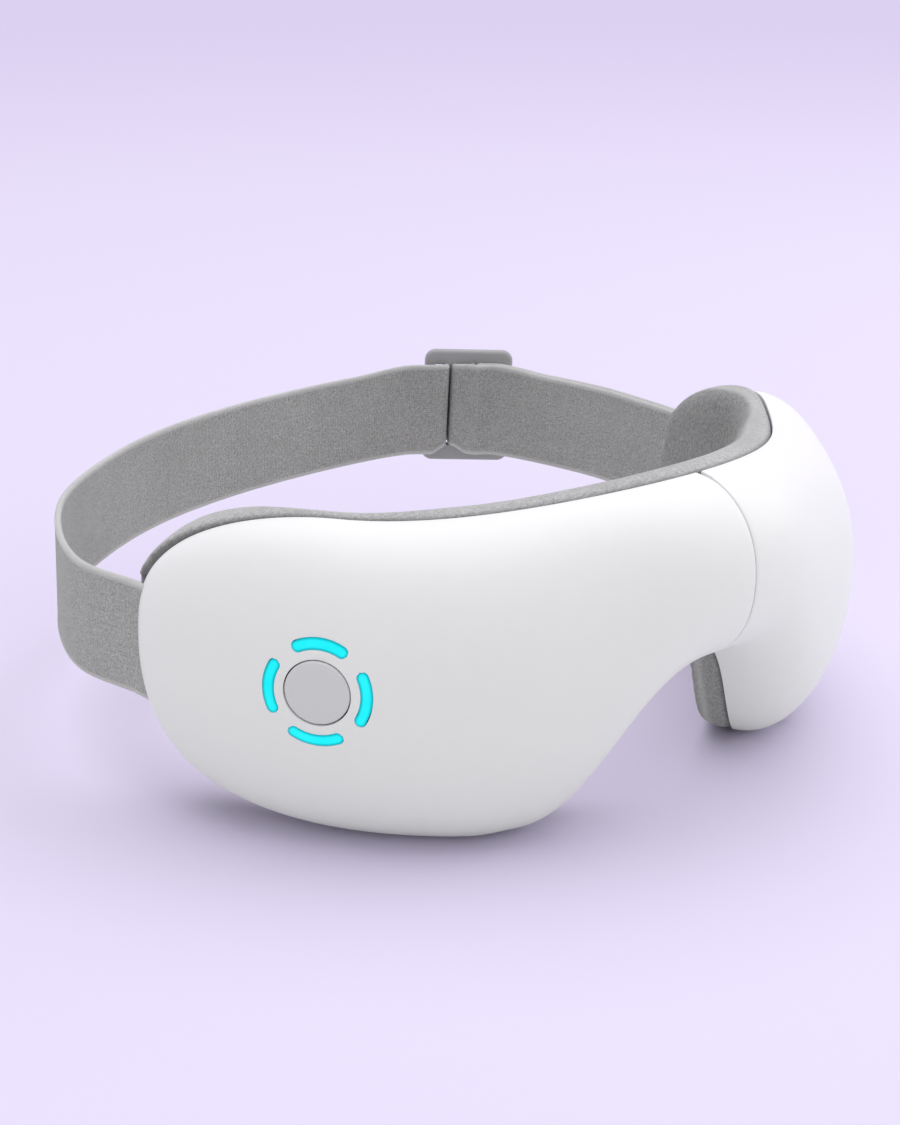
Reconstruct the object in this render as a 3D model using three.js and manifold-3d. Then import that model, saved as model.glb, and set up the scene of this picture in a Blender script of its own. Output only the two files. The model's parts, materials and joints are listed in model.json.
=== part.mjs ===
// Heated eye massager: two hinged halves with moulded shells, padded cushions and an adjustable head strap.
// Millimetres, +Z up, the front looks along -Y. The button is on the half at -X.
// The mask is drawn upright with its bridge at the origin, and leans forward as a whole at the end.
import * as THREE from 'three';
import { mergeVertices } from 'three/addons/utils/BufferGeometryUtils.js';
import Module from 'manifold-3d';

const wasm = await Module();
wasm.setup();

// Rim of one half, seen from above: one curve from the bridge to the temple
const maskHalfWidth = 90.5;
const templeDepth = 74.2;
const templeHeading = THREE.MathUtils.degToRad(64.8);
const bridgeHandle = 35.1;
const templeHandle = 37.8;

// Outline of one half, seen from the front
const bridgeTop = 78.7;
const lobeTop = 70.1;
const templeHeight = 45.4;
const noseArchHeight = 37.8;
const noseHalfWidth = 41;
const shoulderStart = 78.9;
const topRoundness = 1.96;
const bottomRoundness = 3.0;
const archStepShare = 1.1;

// Bulge of the front shell ahead of its rim
const bridgeBulge = 18.8;
const lobeBulge = 23.6;
const bulgeRiseStart = 18;
const bulgeRiseEnd = 56;
const bulgeFallStart = 14.7;
const bulgeEndRoundness = 2.3;
const crownRoundness = 2.13;
const stationCrowding = 1.35;

// How the mask stands
const faceLean = THREE.MathUtils.degToRad(4.05);
const footFlat = 0.5;

// Walls and clearances
const shellWall = 2;
const seamGap = 0.3;
const fitGap = 0.3;
const slideGap = 0.2;
const taperHeight = 12;
const taperBulge = 8;
const cutOver = 1;

// Rear frame and its deck for the electronics
const frameThickness = 2;
const frameEndSetback = 6;
const frameInset = 3.2;
const deckWidth = 62;
const deckHeight = 34;
const deckFront = 3.2;
const deckShare = 0.5;
const deckCentreHeight = 35;

// Fold hinge at the bridge
const hingeSetback = 2.8;
const knuckleRadius = 2.3;
const hingePinRadius = 1;
const hingePinClearance = 0.15;
const knuckleGap = 0.3;
const hingeEndMargin = 5;
const hingeLeafReach = 7;
const hingeLeafThickness = 2.4;
const hingePinHead = 0.8;

// Cushions
const cushionStart = 10.3;
const cushionDepth = 8.4;
const cushionTempleDepth = 14.5;
const cushionGrowStart = 49;
const cushionGrowPower = 1.5;
const cushionOverhang = 3;
const cushionRoundness = 2.7;
const cushionFootRoundness = 5;
const cushionTopRise = 0.6;
const eyeHoleAlong = 40.5;
const eyeHoleLevel = 36.5;
const eyeHoleWidth = 44;
const eyeHoleHeight = 38;
const eyeHoleRoundness = 2.4;
const eyePadThickness = 2.4;
const heatingFilmThickness = 0.5;
const airbagThickness = 3;

// Screws that hold each rear frame to its shell
const screwHeadRadius = 2.6;
const screwHeadHeight = 1.2;
const screwShankRadius = 1.1;
const screwLength = 7;
const bossRadius = 2.8;
const screwShares = [[0.2, 0.82], [0.62, 0.11], [0.74, 0.9]];

// Power button, its switch and the light ring
const buttonRadius = 7.1;
const buttonShare = 0.645;
const buttonHeight = 39.6;
const buttonTurn = THREE.MathUtils.degToRad(55.3);
const buttonDome = 0.45;
const buttonThickness = 2.6;
const buttonFlange = 0.9;
const buttonFlangeThickness = 1;
const buttonTravel = 0.6;
const buttonStemRadius = 2.4;
const ringInnerRadius = 9.4;
const ringOuterRadius = 11.7;
const ringArcAngle = THREE.MathUtils.degToRad(53);
const ringLights = 4;
const switchSize = 6;
const switchHeight = 3;
const plungerRadius = 1.7;
const plungerHeight = 1.6;
const buttonBoardRadius = 13.2;
const buttonBoardThickness = 1.2;
const buttonBoardSetback = 9.4;
const lightEmitterSize = 2.2;
const lightEmitterHeight = 0.8;
const boardPostRadius = 1.2;
const boardPostShare = 0.9;
const plungerBoreShare = 0.8;

// Electronics on the decks
const mainBoardWidth = 44;
const mainBoardHeight = 28;
const mainBoardShift = -6;
const boardThickness = 1.2;
const standoffHeight = 1.2;
const chipWidth = 9;
const chipThickness = 1.4;
const smallChipShare = 0.7;
const chipPitchShare = 1.2;
const connectorWidth = 8;
const connectorDepth = 5;
const connectorHeight = 4;
const batteryWidth = 32;
const batteryShift = -14;
const batteryLift = 1;
const batteryHeight = 28;
const batteryThickness = 7.5;
const batteryCorner = 2;
const pumpRadius = 5.5;
const pumpLength = 27;
const pumpNozzleRadius = 1.6;
const pumpNozzleLength = 3;
const pumpShift = 20;
const hoseRadius = 1.2;
const hoseClimb = 2.6;
const hoseEntryAlong = 49.5;
const hoseEntryLevel = 52.6;
const hoseBranchShare = 0.5;
const cableHeight = 4;
const cableThickness = 0.6;
const cableArchGap = 6.7;
const bridgeWindowMargin = 2;
const bridgeRouteDepth = 8;
const bridgeRouteShift = 11;
const windowDepth = 6;
const motorRadius = 5;
const motorThickness = 2.8;
const leftMotorShift = 21.4;
const rightMotorShift = 8.2;
const chargePortWidth = 9;
const chargePortThickness = 3.2;
const chargePortLength = 7;
const chargePortShift = -12;
const chargePortSetback = 6.6;
const chargeBoardWidth = 14;

// Strap and its slider
const webbingWidth = 27;
const webbingThickness = 1.4;
const strapBottom = 22.5;
const anchorPinRadius = 2;
const anchorPinMargin = 3;
const anchorPinSetback = 12.5;
const anchorPinDepth = 4.6;
const sliderLength = 26;
const sliderThickness = 2.6;
const sliderBar = 3;
const sliderCentreBar = 3.5;
const sliderSlot = 6.6;
const sliderRail = 2.9;
const sliderCorner = 3.2;
const sliderSlack = 0.8;
const sliderPlace = new THREE.Vector2(80, 164.8);
const sliderHeading = THREE.MathUtils.degToRad(-36);
const strapReach = 101.6;
const strapExitInset = 0.7;
const strapExitSetback = 1.5;
const strapLeftShares = [
  [-1.043, 0.215], [-0.844, 0.58], [-0.578, 0.784], [-0.274, 0.926], [0.087, 1.0], [0.455, 1.01],
];
const strapRightShares = [[1.029, 0.504], [1.03, 0.303]];
const layerGap = 0.35;
const wrapRoundness = 4;
const runLeadShares = [-0.7, -0.5];
const loopLeadShares = [0.5, 0.6];
const outerWrapAngles = [225, -45];
const innerWrapAngles = [-80, -400];
const barWrapSteps = 14;
const pinTurnSteps = 8;
const runSteps = 34;
const loopSteps = 14;
const cableShares = [-1, -0.4, 0.4, 1];
const cableSteps = 20;

// Solids and meshes

const weldGap = 1e-4;
const flatShare = 1e-3;

function closedGeometry(positions, triangles) {
  const raw = new THREE.BufferGeometry();
  raw.setAttribute('position', new THREE.Float32BufferAttribute(positions, 3));
  raw.setIndex(triangles);
  const merged = mergeVertices(raw, weldGap);
  const kept = [];
  const index = merged.index.array;
  for (let i = 0; i < index.length; i += 3) {
    const [a, b, c] = [index[i], index[i + 1], index[i + 2]];
    if (a !== b && b !== c && c !== a) kept.push(a, b, c);
  }
  merged.setIndex(kept);
  return merged;
}

function signedVolume(geometry) {
  const p = geometry.attributes.position;
  const index = geometry.index.array;
  const a = new THREE.Vector3();
  const b = new THREE.Vector3();
  const c = new THREE.Vector3();
  let volume = 0;
  for (let i = 0; i < index.length; i += 3) {
    a.fromBufferAttribute(p, index[i]);
    b.fromBufferAttribute(p, index[i + 1]);
    c.fromBufferAttribute(p, index[i + 2]);
    volume += a.dot(b.cross(c)) / 6;
  }
  return volume;
}

function flipFaces(geometry) {
  const index = Array.from(geometry.index.array);
  for (let i = 0; i < index.length; i += 3) [index[i], index[i + 1]] = [index[i + 1], index[i]];
  geometry.setIndex(index);
  return geometry;
}

function facingOut(geometry) {
  return signedVolume(geometry) < 0 ? flipFaces(geometry) : geometry;
}

function bare(geometry) {
  const copy = geometry.clone();
  copy.deleteAttribute('normal');
  copy.deleteAttribute('uv');
  return facingOut(mergeVertices(copy, weldGap));
}

function solid(geometry) {
  const clean = bare(geometry);
  return new wasm.Manifold(new wasm.Mesh({
    numProp: 3,
    vertProperties: new Float32Array(clean.attributes.position.array),
    triVerts: new Uint32Array(clean.index.array),
  }));
}

function geometryOf(body) {
  const mesh = body.getMesh();
  const geometry = new THREE.BufferGeometry();
  geometry.setAttribute('position', new THREE.Float32BufferAttribute(mesh.vertProperties, 3));
  geometry.setIndex(Array.from(mesh.triVerts));
  return geometry;
}

function cut(base, ...tools) {
  return tools.reduce((body, tool) => body.subtract(tool), base);
}

function join(base, ...more) {
  return more.reduce((body, other) => body.add(other), base);
}

function mirrored(geometry) {
  const copy = geometry.clone();
  copy.scale(-1, 1, 1);
  return flipFaces(copy);
}

// A closed solid through sections of equal point counts; a section drawn to a point closes the end
function loft(sections) {
  const count = sections[0].length;
  const positions = sections.flatMap((section) => section.flatMap((p) => [p.x, p.y, p.z]));
  const triangles = [];
  for (let i = 0; i + 1 < sections.length; i += 1) {
    for (let j = 0; j < count; j += 1) {
      const next = (j + 1) % count;
      const [a, b] = [i * count + j, i * count + next];
      triangles.push(a, b, b + count, a, b + count, a + count);
    }
  }
  for (const section of [0, sections.length - 1]) {
    const base = section * count;
    const flat = sections[section].map((p) => sectionPlace(p, sections[section]));
    const area = THREE.ShapeUtils.area(flat);
    if (Math.abs(area) < flatShare * maskHalfWidth) continue;
    for (const corners of THREE.ShapeUtils.triangulateShape(flat, [])) {
      const along = THREE.ShapeUtils.area(corners.map((corner) => flat[corner])) * area > 0;
      const [a, b, c] = corners.map((corner) => base + corner);
      if (along === section > 0) triangles.push(a, b, c);
      else triangles.push(a, c, b);
    }
  }
  return facingOut(closedGeometry(positions, triangles));
}

// A section's points in its own plane, for closing it
function sectionPlace(point, section) {
  const first = section[0];
  let widest = new THREE.Vector3(1, 0, 0);
  let reach = 0;
  for (const other of section) {
    const across = new THREE.Vector3(other.x - first.x, other.y - first.y, 0);
    if (across.length() > reach) {
      reach = across.length();
      widest = across.clone().normalize();
    }
  }
  const away = new THREE.Vector3(point.x - first.x, point.y - first.y, 0);
  return new THREE.Vector2(away.dot(widest), point.z);
}

function boxAt(width, depth, height, x, y, z) {
  return new THREE.BoxGeometry(width, depth, height).translate(x, y, z);
}

function uprightCylinder(radius, height, sides) {
  return new THREE.CylinderGeometry(radius, radius, height, sides).rotateX(Math.PI / 2);
}

// A flat shape drawn across and up, pushed inwards from a place ahead of the rim
function frontPrism(shape, from, to, curveSegments) {
  const geometry = new THREE.ExtrudeGeometry(shape, { depth: to - from, bevelEnabled: false, curveSegments });
  return geometry.rotateX(Math.PI / 2).translate(0, to, 0);
}

// The rim curve and everything that follows it

const rimCurve = new THREE.CubicBezierCurve(
  new THREE.Vector2(0, 0),
  new THREE.Vector2(bridgeHandle, 0),
  new THREE.Vector2(
    maskHalfWidth - templeHandle * Math.cos(templeHeading),
    templeDepth - templeHandle * Math.sin(templeHeading),
  ),
  new THREE.Vector2(maskHalfWidth, templeDepth),
);
const rimLength = rimCurve.getLength();

function rimPlace(along) {
  const share = THREE.MathUtils.clamp(along / rimLength, 0, 1);
  const point = rimCurve.getPointAt(share);
  const tangent = rimCurve.getTangentAt(share);
  point.addScaledVector(tangent, along - share * rimLength);
  return { point, tangent, out: new THREE.Vector2(tangent.y, -tangent.x) };
}

function rimPoint(along, out, height) {
  const place = rimPlace(along);
  return new THREE.Vector3(place.point.x + place.out.x * out, place.point.y + place.out.y * out, height);
}

function rimFrame(along, height) {
  const { point, tangent } = rimPlace(along);
  const turn = new THREE.Matrix4().makeRotationZ(Math.atan2(tangent.y, tangent.x));
  return new THREE.Matrix4().makeTranslation(point.x, point.y, height).multiply(turn);
}

const noseFootSetback = rimPlace(noseHalfWidth).point.y;

// The same value however it was reached, so that points which meet are one point
function even(value) {
  return Math.round(value * 1e4) / 1e4;
}

// Across and up shares of an oval's point, from a circle at power 2 towards a square
function ovalShares(angle, power) {
  const across = Math.sign(even(Math.cos(angle))) * Math.abs(Math.cos(angle)) ** (2 / power);
  const up = Math.sign(even(Math.sin(angle))) * Math.abs(Math.sin(angle)) ** (2 / power);
  return { across: even(across), up: even(up) };
}

function rounded(share, power) {
  const inside = THREE.MathUtils.clamp(share, 0, 1);
  return inside > 1 - 1e-9 ? 0 : (1 - inside ** power) ** (1 / power);
}

// The place on the full rim that a place on a shorter or longer one stands for, alike up to the nose
function fullRimPlace(along, length) {
  const past = Math.max(0, along - noseHalfWidth);
  return Math.min(along, noseHalfWidth) + past * (rimLength - noseHalfWidth) / (length - noseHalfWidth);
}

// Bottom and top of the outline at a distance along a rim of the given length
function outlineAt(along, length, roundness = bottomRoundness) {
  const s = fullRimPlace(along, length);
  const rise = THREE.MathUtils.smoothstep(s, 0, shoulderStart);
  const shoulder = (s - shoulderStart) / (rimLength - shoulderStart);
  const archShare = THREE.MathUtils.clamp(s / noseHalfWidth, 0, 1) ** archStepShare;
  const stance = -Math.tan(faceLean) * (rimPlace(s).point.y - noseFootSetback);
  const foot = (s - noseHalfWidth) / (rimLength - noseHalfWidth);
  const top = s < shoulderStart
    ? bridgeTop + (lobeTop - bridgeTop) * rise
    : templeHeight + (lobeTop - templeHeight) * rounded(shoulder, topRoundness);
  const bottom = s < noseHalfWidth
    ? noseArchHeight * (1 - THREE.MathUtils.smootherstep(archShare, 0, 1))
    : templeHeight + (stance - templeHeight) * rounded(foot, roundness);
  return { bottom, top };
}

function insetOutline(along, length, inset, roundness) {
  const { bottom, top } = outlineAt(along, length, roundness);
  const half = (top - bottom) / 2;
  const kept = half - inset * Math.min(1, half / taperHeight);
  return { middle: (top + bottom) / 2, half: even(kept) };
}

function bulgeAt(along, length, inset) {
  const s = fullRimPlace(along, length);
  const rise = THREE.MathUtils.smoothstep(s, bulgeRiseStart, bulgeRiseEnd);
  const fall = (s - bulgeFallStart) / (rimLength - bulgeFallStart);
  const bulge = (bridgeBulge + (lobeBulge - bridgeBulge) * rise) * rounded(fall, bulgeEndRoundness);
  return bulge - inset * Math.min(1, bulge / taperBulge);
}

function stations(from, to, count) {
  const shares = Array.from({ length: count + 1 }, (_, i) => 1 - (1 - i / count) ** stationCrowding);
  return shares.map((share) => from + (to - from) * share);
}

// The space of one half, from the seam to the temple: its front bulge, or a slice of it
function lobeBody(choice) {
  const { inset = 0, from = seamGap / 2, back = 0, limit = Infinity } = choice;
  const { setback = 0, steps = 22, arcs = 12 } = choice;
  const length = rimLength - inset - setback;
  const sections = stations(from, length, steps).map((along) => {
    const { middle, half } = insetOutline(along, length, inset);
    const bulge = bulgeAt(along, length, inset);
    const section = [];
    for (let j = 0; j <= arcs; j += 1) {
      const rise = Math.sin(Math.PI * (j / arcs - 0.5));
      const out = Math.min(bulge * rounded(Math.abs(rise), crownRoundness), limit);
      section.push(rimPoint(along, out, middle + half * rise));
    }
    if (back > 0) {
      section.push(rimPoint(along, -back, middle + half));
      section.push(rimPoint(along, -back, middle - half));
    }
    return section;
  });
  return loft(sections);
}

// A curved slab behind the rim, between two setbacks, as wide as asked
function slabBehind(nearSetback, farSetback, from, to, low, high, steps) {
  const places = Array.from({ length: steps + 1 }, (_, i) => from + (to - from) * i / steps);
  const sections = places.map((along) => [
    rimPoint(along, -nearSetback, low),
    rimPoint(along, -nearSetback, high),
    rimPoint(along, -farSetback, high),
    rimPoint(along, -farSetback, low),
  ]);
  return loft(sections);
}

// Places on one half, in its own frame: x along the rim, y inwards, z up

function inFrame(geometry, frame) {
  return geometry.applyMatrix4(frame);
}

const deckFrame = rimFrame(rimLength * deckShare, deckCentreHeight);
const eyeFrame = rimFrame(eyeHoleAlong, eyeHoleLevel);

function ovalShape(width, height, power) {
  const points = 28;
  const shape = new THREE.Shape();
  for (let i = 0; i < points; i += 1) {
    const angle = 2 * Math.PI * i / points;
    const { across, up } = ovalShares(angle, power);
    if (i === 0) shape.moveTo(across * width / 2, up * height / 2);
    else shape.lineTo(across * width / 2, up * height / 2);
  }
  shape.closePath();
  return shape;
}

function screwPlaces() {
  return screwShares.map(([alongShare, upShare]) => {
    const along = rimLength * alongShare;
    const { bottom, top } = outlineAt(along, rimLength);
    return rimFrame(along, bottom + (top - bottom) * upShare);
  });
}

function acrossCylinder(radius, from, to, sides, frame) {
  const geometry = new THREE.CylinderGeometry(radius, radius, to - from, sides);
  return inFrame(geometry.translate(0, (from + to) / 2, 0), frame);
}

// Front shell of the right half

const standLevel = noseFootSetback * Math.sin(faceLean) + footFlat;

function floorBlock() {
  const reach = 4 * maskHalfWidth;
  return solid(boxAt(reach, reach, maskHalfWidth, 0, 0, standLevel - maskHalfWidth / 2).rotateX(-faceLean));
}

const pinAlong = rimLength - anchorPinSetback;
const pinFrame = rimFrame(pinAlong, 0);
const pinCentre = rimPoint(pinAlong, anchorPinDepth, 0);
const strapBottomAtPin = strapBottom - Math.tan(faceLean) * (pinCentre.y - templeDepth);
const strapTopAtPin = strapBottomAtPin + webbingWidth;

function pinEars() {
  const width = 2 * (anchorPinRadius + shellWall);
  const thickness = anchorPinMargin;
  const depth = lobeBulge;
  const places = [strapBottomAtPin - fitGap - thickness / 2, strapTopAtPin + fitGap + thickness / 2];
  return places.map((height) => {
    const ear = boxAt(width, depth, thickness, 0, -depth / 2 - frameThickness - fitGap, height);
    return solid(inFrame(ear, pinFrame)).intersect(solid(lobeBody({ inset: shellWall / 2, steps: 14 })));
  });
}

function pinSolid(radius, spare) {
  const low = strapBottomAtPin - fitGap - anchorPinMargin + spare;
  const high = strapTopAtPin + fitGap + anchorPinMargin - spare;
  const pin = uprightCylinder(radius, high - low, 16).translate(pinCentre.x, pinCentre.y, (low + high) / 2);
  return solid(pin);
}

function strapNotch() {
  const depth = 2 * webbingThickness + layerGap + 3 * fitGap;
  const reach = anchorPinSetback;
  const height = webbingWidth + 4 * fitGap;
  const end = rimFrame(rimLength, strapBottom + webbingWidth / 2);
  const notch = boxAt(reach, depth + cutOver, height, 0, cutOver / 2 - depth / 2, 0);
  return solid(inFrame(notch, end));
}

function screwBosses() {
  const limit = lobeBody({ inset: shellWall / 2, steps: 14 });
  return screwPlaces().map((frame) => {
    const boss = acrossCylinder(bossRadius, -lobeBulge, -frameThickness - fitGap, 14, frame);
    return solid(boss).intersect(solid(limit));
  });
}

function screwPilots() {
  return screwPlaces().map((frame) =>
    solid(acrossCylinder(screwShankRadius + slideGap, -screwLength - fitGap, cutOver, 12, frame)));
}

function frontShell() {
  const outside = solid(lobeBody({}));
  const from = seamGap / 2 + shellWall;
  const inside = solid(lobeBody({ inset: shellWall, from, back: cutOver, steps: 18 }));
  const walls = join(outside.subtract(inside), ...screwBosses(), ...pinEars());
  const pinRoom = pinSolid(anchorPinRadius + slideGap, 0);
  return cut(walls, ...screwPilots(), strapNotch(), strapRoom(fitGap), pinRoom, floorBlock());
}

// Rear frame with its deck, screw holes and half of the hinge

const hingeLow = noseArchHeight + hingeEndMargin;
const hingeHigh = bridgeTop - hingeEndMargin;
const knuckleLength = (hingeHigh - hingeLow - 2 * knuckleGap) / 3;

function knucklePlaces(side) {
  const step = knuckleLength + knuckleGap;
  const first = hingeLow + knuckleLength / 2;
  return side > 0 ? [first + step] : [first, first + 2 * step];
}

function hingeHalf(side, spare) {
  const height = knuckleLength + 2 * spare;
  return knucklePlaces(side).map((middle) => {
    const barrel = uprightCylinder(knuckleRadius + spare, height, 20).translate(0, hingeSetback, middle);
    const leafDepth = hingeLeafThickness + 2 * spare;
    const leaf = boxAt(hingeLeafReach + spare, leafDepth, height, 0, 0, middle);
    leaf.translate((hingeLeafReach + spare) / 2, fitGap + hingeLeafThickness / 2, 0);
    const rootWidth = hingeLeafReach - shellWall - 2 * fitGap;
    const root = boxAt(rootWidth, frameThickness + hingeLeafThickness, height, 0, 0, middle);
    root.translate(hingeLeafReach - rootWidth / 2, (hingeLeafThickness - frameThickness) / 2, 0);
    return join(solid(barrel), solid(leaf), solid(root));
  });
}

function pinBore() {
  const height = hingeHigh - hingeLow + 2 * cutOver;
  const bore = uprightCylinder(hingePinRadius + hingePinClearance, height, 16);
  return solid(bore.translate(0, hingeSetback, (hingeLow + hingeHigh) / 2));
}

function rearFrame(side) {
  const inset = frameInset;
  const from = seamGap / 2 + inset;
  const room = solid(lobeBody({ inset, from, setback: frameEndSetback, steps: 14, arcs: 8 }));
  const limit = frameThickness;
  const plate = lobeBody({ inset, from, limit, setback: frameEndSetback, steps: 16, arcs: 8 });
  const deck = boxAt(deckWidth, deckFront + lobeBulge / 2, deckHeight, 0, lobeBulge / 4 - deckFront / 2, 0);
  const body = join(solid(plate), solid(inFrame(deck, deckFrame)).intersect(room));
  const hinge = join(body, ...hingeHalf(side, 0));
  const holes = screwPlaces().flatMap((frame) => [
    solid(acrossCylinder(screwShankRadius + slideGap, -lobeBulge / 4, cutOver, 12, frame)),
    solid(acrossCylinder(screwHeadRadius + slideGap, -screwHeadHeight, cutOver, 16, frame)),
  ]);
  const clear = anchorPinRadius + layerGap + webbingThickness + fitGap;
  const end = boxAt(anchorPinSetback, lobeBulge, rimLength, anchorPinSetback / 2 - clear, 0, 0);
  return cut(hinge, ...holes, pinBore(), solid(inFrame(end, pinFrame)));
}

// Cushion: a rounded band that follows the rim, with an oval opening over the eye

function cushionDepthAt(along) {
  const share = THREE.MathUtils.clamp((along - cushionGrowStart) / (rimLength - cushionGrowStart), 0, 1);
  return cushionDepth + (cushionTempleDepth - cushionDepth) * share ** cushionGrowPower;
}

function cushionSection(along, length, from) {
  const points = 20;
  const depth = cushionDepthAt(along);
  const { middle, half } = insetOutline(along, length, -cushionTopRise, cushionFootRoundness);
  return Array.from({ length: points }, (_, i) => {
    const angle = 2 * Math.PI * i / points;
    const { across: up, up: back } = ovalShares(angle, cushionRoundness);
    const roundOff = depth / 2 * (1 - Math.sqrt(Math.max(0, 1 - back * back)));
    const reach = from + (along - from) * (length - roundOff - from) / (length - from);
    return rimPoint(reach, -fitGap - depth / 2 * (1 + back), middle + half * up);
  });
}

function eyeHole(spare, depth) {
  const shape = ovalShape(eyeHoleWidth - 2 * spare, eyeHoleHeight - 2 * spare, eyeHoleRoundness);
  return solid(inFrame(frontPrism(shape, -depth, depth), eyeFrame));
}

function cushion() {
  const length = rimLength + cushionOverhang;
  const places = stations(cushionStart, length, 22);
  const sections = places.map((along) => cushionSection(along, length, cushionStart));
  const pad = solid(loft(sections)).subtract(eyeHole(0, lobeBulge));
  return cut(pad, strapRoom(2 * fitGap).hull(), floorBlock());
}

function eyeLayer(nearSetback, thickness, spare) {
  const half = eyeHoleWidth / 2 + cutOver;
  const [from, to] = [eyeHoleAlong - half, eyeHoleAlong + half];
  const [low, high] = [eyeHoleLevel - eyeHoleHeight, eyeHoleLevel + eyeHoleHeight];
  const slab = slabBehind(nearSetback, nearSetback + thickness, from, to, low, high, 8);
  return solid(slab).intersect(eyeHole(spare, lobeBulge));
}

const airbagSetback = fitGap;
const filmSetback = airbagSetback + airbagThickness + fitGap;
const eyePadSetback = filmSetback + heatingFilmThickness + fitGap;

// Screws

function screw(frame) {
  const head = acrossCylinder(screwHeadRadius, -screwHeadHeight + fitGap, -fitGap / 3, 12, frame);
  const shank = acrossCylinder(screwShankRadius, -screwLength, -screwHeadHeight + 2 * fitGap, 8, frame);
  return join(solid(head), solid(shank));
}

// Hinge pin and the padded bridge piece that covers the hinge

function hingePin() {
  const height = hingeHigh - hingeLow;
  const middle = (hingeLow + hingeHigh) / 2;
  const shank = uprightCylinder(hingePinRadius, height + hingePinHead, 16).translate(0, hingeSetback, middle);
  const headRadius = (hingePinRadius + knuckleRadius) / 2;
  const places = [hingeLow - knuckleGap - hingePinHead / 2, hingeHigh + knuckleGap + hingePinHead / 2];
  const heads = places.map((place) =>
    solid(uprightCylinder(headRadius, hingePinHead, 16).translate(0, hingeSetback, place)));
  return join(solid(shank), ...heads);
}

function bridgePad() {
  const reach = cushionStart - fitGap;
  const length = rimLength + cushionOverhang;
  const sections = [-1, -0.5, 0, 0.5, 1].map((share) => {
    const along = Math.abs(reach * share);
    return cushionSection(along, length, 0).map((p) => new THREE.Vector3(Math.sign(share) * p.x, p.y, p.z));
  });
  const low = hingeLow - knuckleGap - hingePinHead - fitGap;
  const high = hingeHigh + knuckleGap + hingePinHead + fitGap;
  const room = uprightCylinder(knuckleRadius + fitGap, high - low, 20);
  room.translate(0, hingeSetback, (low + high) / 2);
  const mouth = boxAt(2 * knuckleRadius, hingeSetback, high - low, 0, hingeSetback / 2, (low + high) / 2);
  const leaves = [1, -1].flatMap((side) => hingeHalf(side, fitGap).map((half) =>
    side > 0 ? half : solid(mirrored(geometryOf(half)))));
  return cut(solid(loft(sections)), solid(room), solid(mouth), ...leaves);
}

// Power button, switch and light ring, set square to the face at the button

function faceOut(along, height) {
  const { middle, half } = insetOutline(along, rimLength, 0);
  return bulgeAt(along, rimLength, 0) * rounded(Math.abs(height - middle) / half, crownRoundness);
}

const buttonAlong = rimLength * buttonShare;
const buttonPoint = rimPoint(buttonAlong, faceOut(buttonAlong, buttonHeight), buttonHeight);
const buttonFrame = new THREE.Matrix4().makeTranslation(buttonPoint.x, buttonPoint.y, buttonPoint.z)
  .multiply(new THREE.Matrix4().makeRotationZ(buttonTurn));
const ringMiddle = (ringInnerRadius + ringOuterRadius) / 2;
const flangeFront = shellWall + buttonDome + fitGap;
const buttonBack = flangeFront + buttonFlangeThickness;
const switchFront = buttonBoardSetback - fitGap - switchHeight;
const emitterFront = buttonBoardSetback - lightEmitterHeight;

function lightAngle(index) {
  return 2 * Math.PI * index / ringLights;
}

function arcShape(index, spare) {
  const half = (ringOuterRadius - ringInnerRadius) / 2 + spare;
  const from = lightAngle(index) - ringArcAngle / 2;
  const to = lightAngle(index) + ringArcAngle / 2;
  const shape = new THREE.Shape();
  shape.absarc(0, 0, ringMiddle + half, from, to, false);
  shape.absarc(ringMiddle * Math.cos(to), ringMiddle * Math.sin(to), half, to, to + Math.PI, false);
  shape.absarc(0, 0, ringMiddle - half, to, from, true);
  const [x, y] = [ringMiddle * Math.cos(from), ringMiddle * Math.sin(from)];
  shape.absarc(x, y, half, from + Math.PI, from + 2 * Math.PI, false);
  return shape;
}

function arcPrism(index, spare, to) {
  return solid(inFrame(frontPrism(arcShape(index, spare), -lobeBulge / 4, to, 4), buttonFrame));
}

function lightGuide(index) {
  return arcPrism(index, 0, emitterFront - fitGap).intersect(solid(lobeBody({})));
}

function lathe(profile, sides, frame) {
  const points = profile.map(([radius, y]) => new THREE.Vector2(radius, y));
  return solid(inFrame(new THREE.LatheGeometry(points, sides), frame));
}

function powerButton() {
  const rim = buttonRadius - slideGap;
  return lathe([
    [0, 0],
    [rim / 2, buttonDome / 4],
    [rim - buttonDome, buttonDome],
    [rim, 2 * buttonDome],
    [rim, flangeFront],
    [rim + buttonFlange, flangeFront],
    [rim + buttonFlange, buttonBack],
    [buttonStemRadius, buttonBack],
    [buttonStemRadius, switchFront - plungerHeight + buttonTravel / 2],
    [0, switchFront - plungerHeight + buttonTravel / 2],
  ], 28, buttonFrame);
}

function switchPlunger() {
  const front = switchFront - plungerHeight + buttonTravel / 2 + fitGap;
  return solid(acrossCylinder(plungerRadius, front, switchFront + switchHeight / 3, 16, buttonFrame));
}

function tactSwitch() {
  const body = boxAt(switchSize, switchHeight, switchSize, 0, switchFront + switchHeight / 2, 0);
  const boreEnd = switchFront + plungerBoreShare * switchHeight;
  const bore = acrossCylinder(plungerRadius + slideGap, switchFront - cutOver, boreEnd, 16, buttonFrame);
  return solid(inFrame(body, buttonFrame)).subtract(solid(bore));
}

function buttonBoard() {
  const back = buttonBoardSetback + buttonBoardThickness;
  const disc = acrossCylinder(buttonBoardRadius, buttonBoardSetback, back, 32, buttonFrame);
  const lights = Array.from({ length: ringLights }, (_, i) => {
    const depth = lightEmitterHeight + buttonBoardThickness / 2;
    const block = boxAt(lightEmitterSize, depth, lightEmitterSize, ringMiddle, emitterFront + depth / 2, 0);
    return solid(inFrame(block.rotateY(-lightAngle(i)), buttonFrame));
  });
  return join(solid(disc), ...lights);
}

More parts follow.
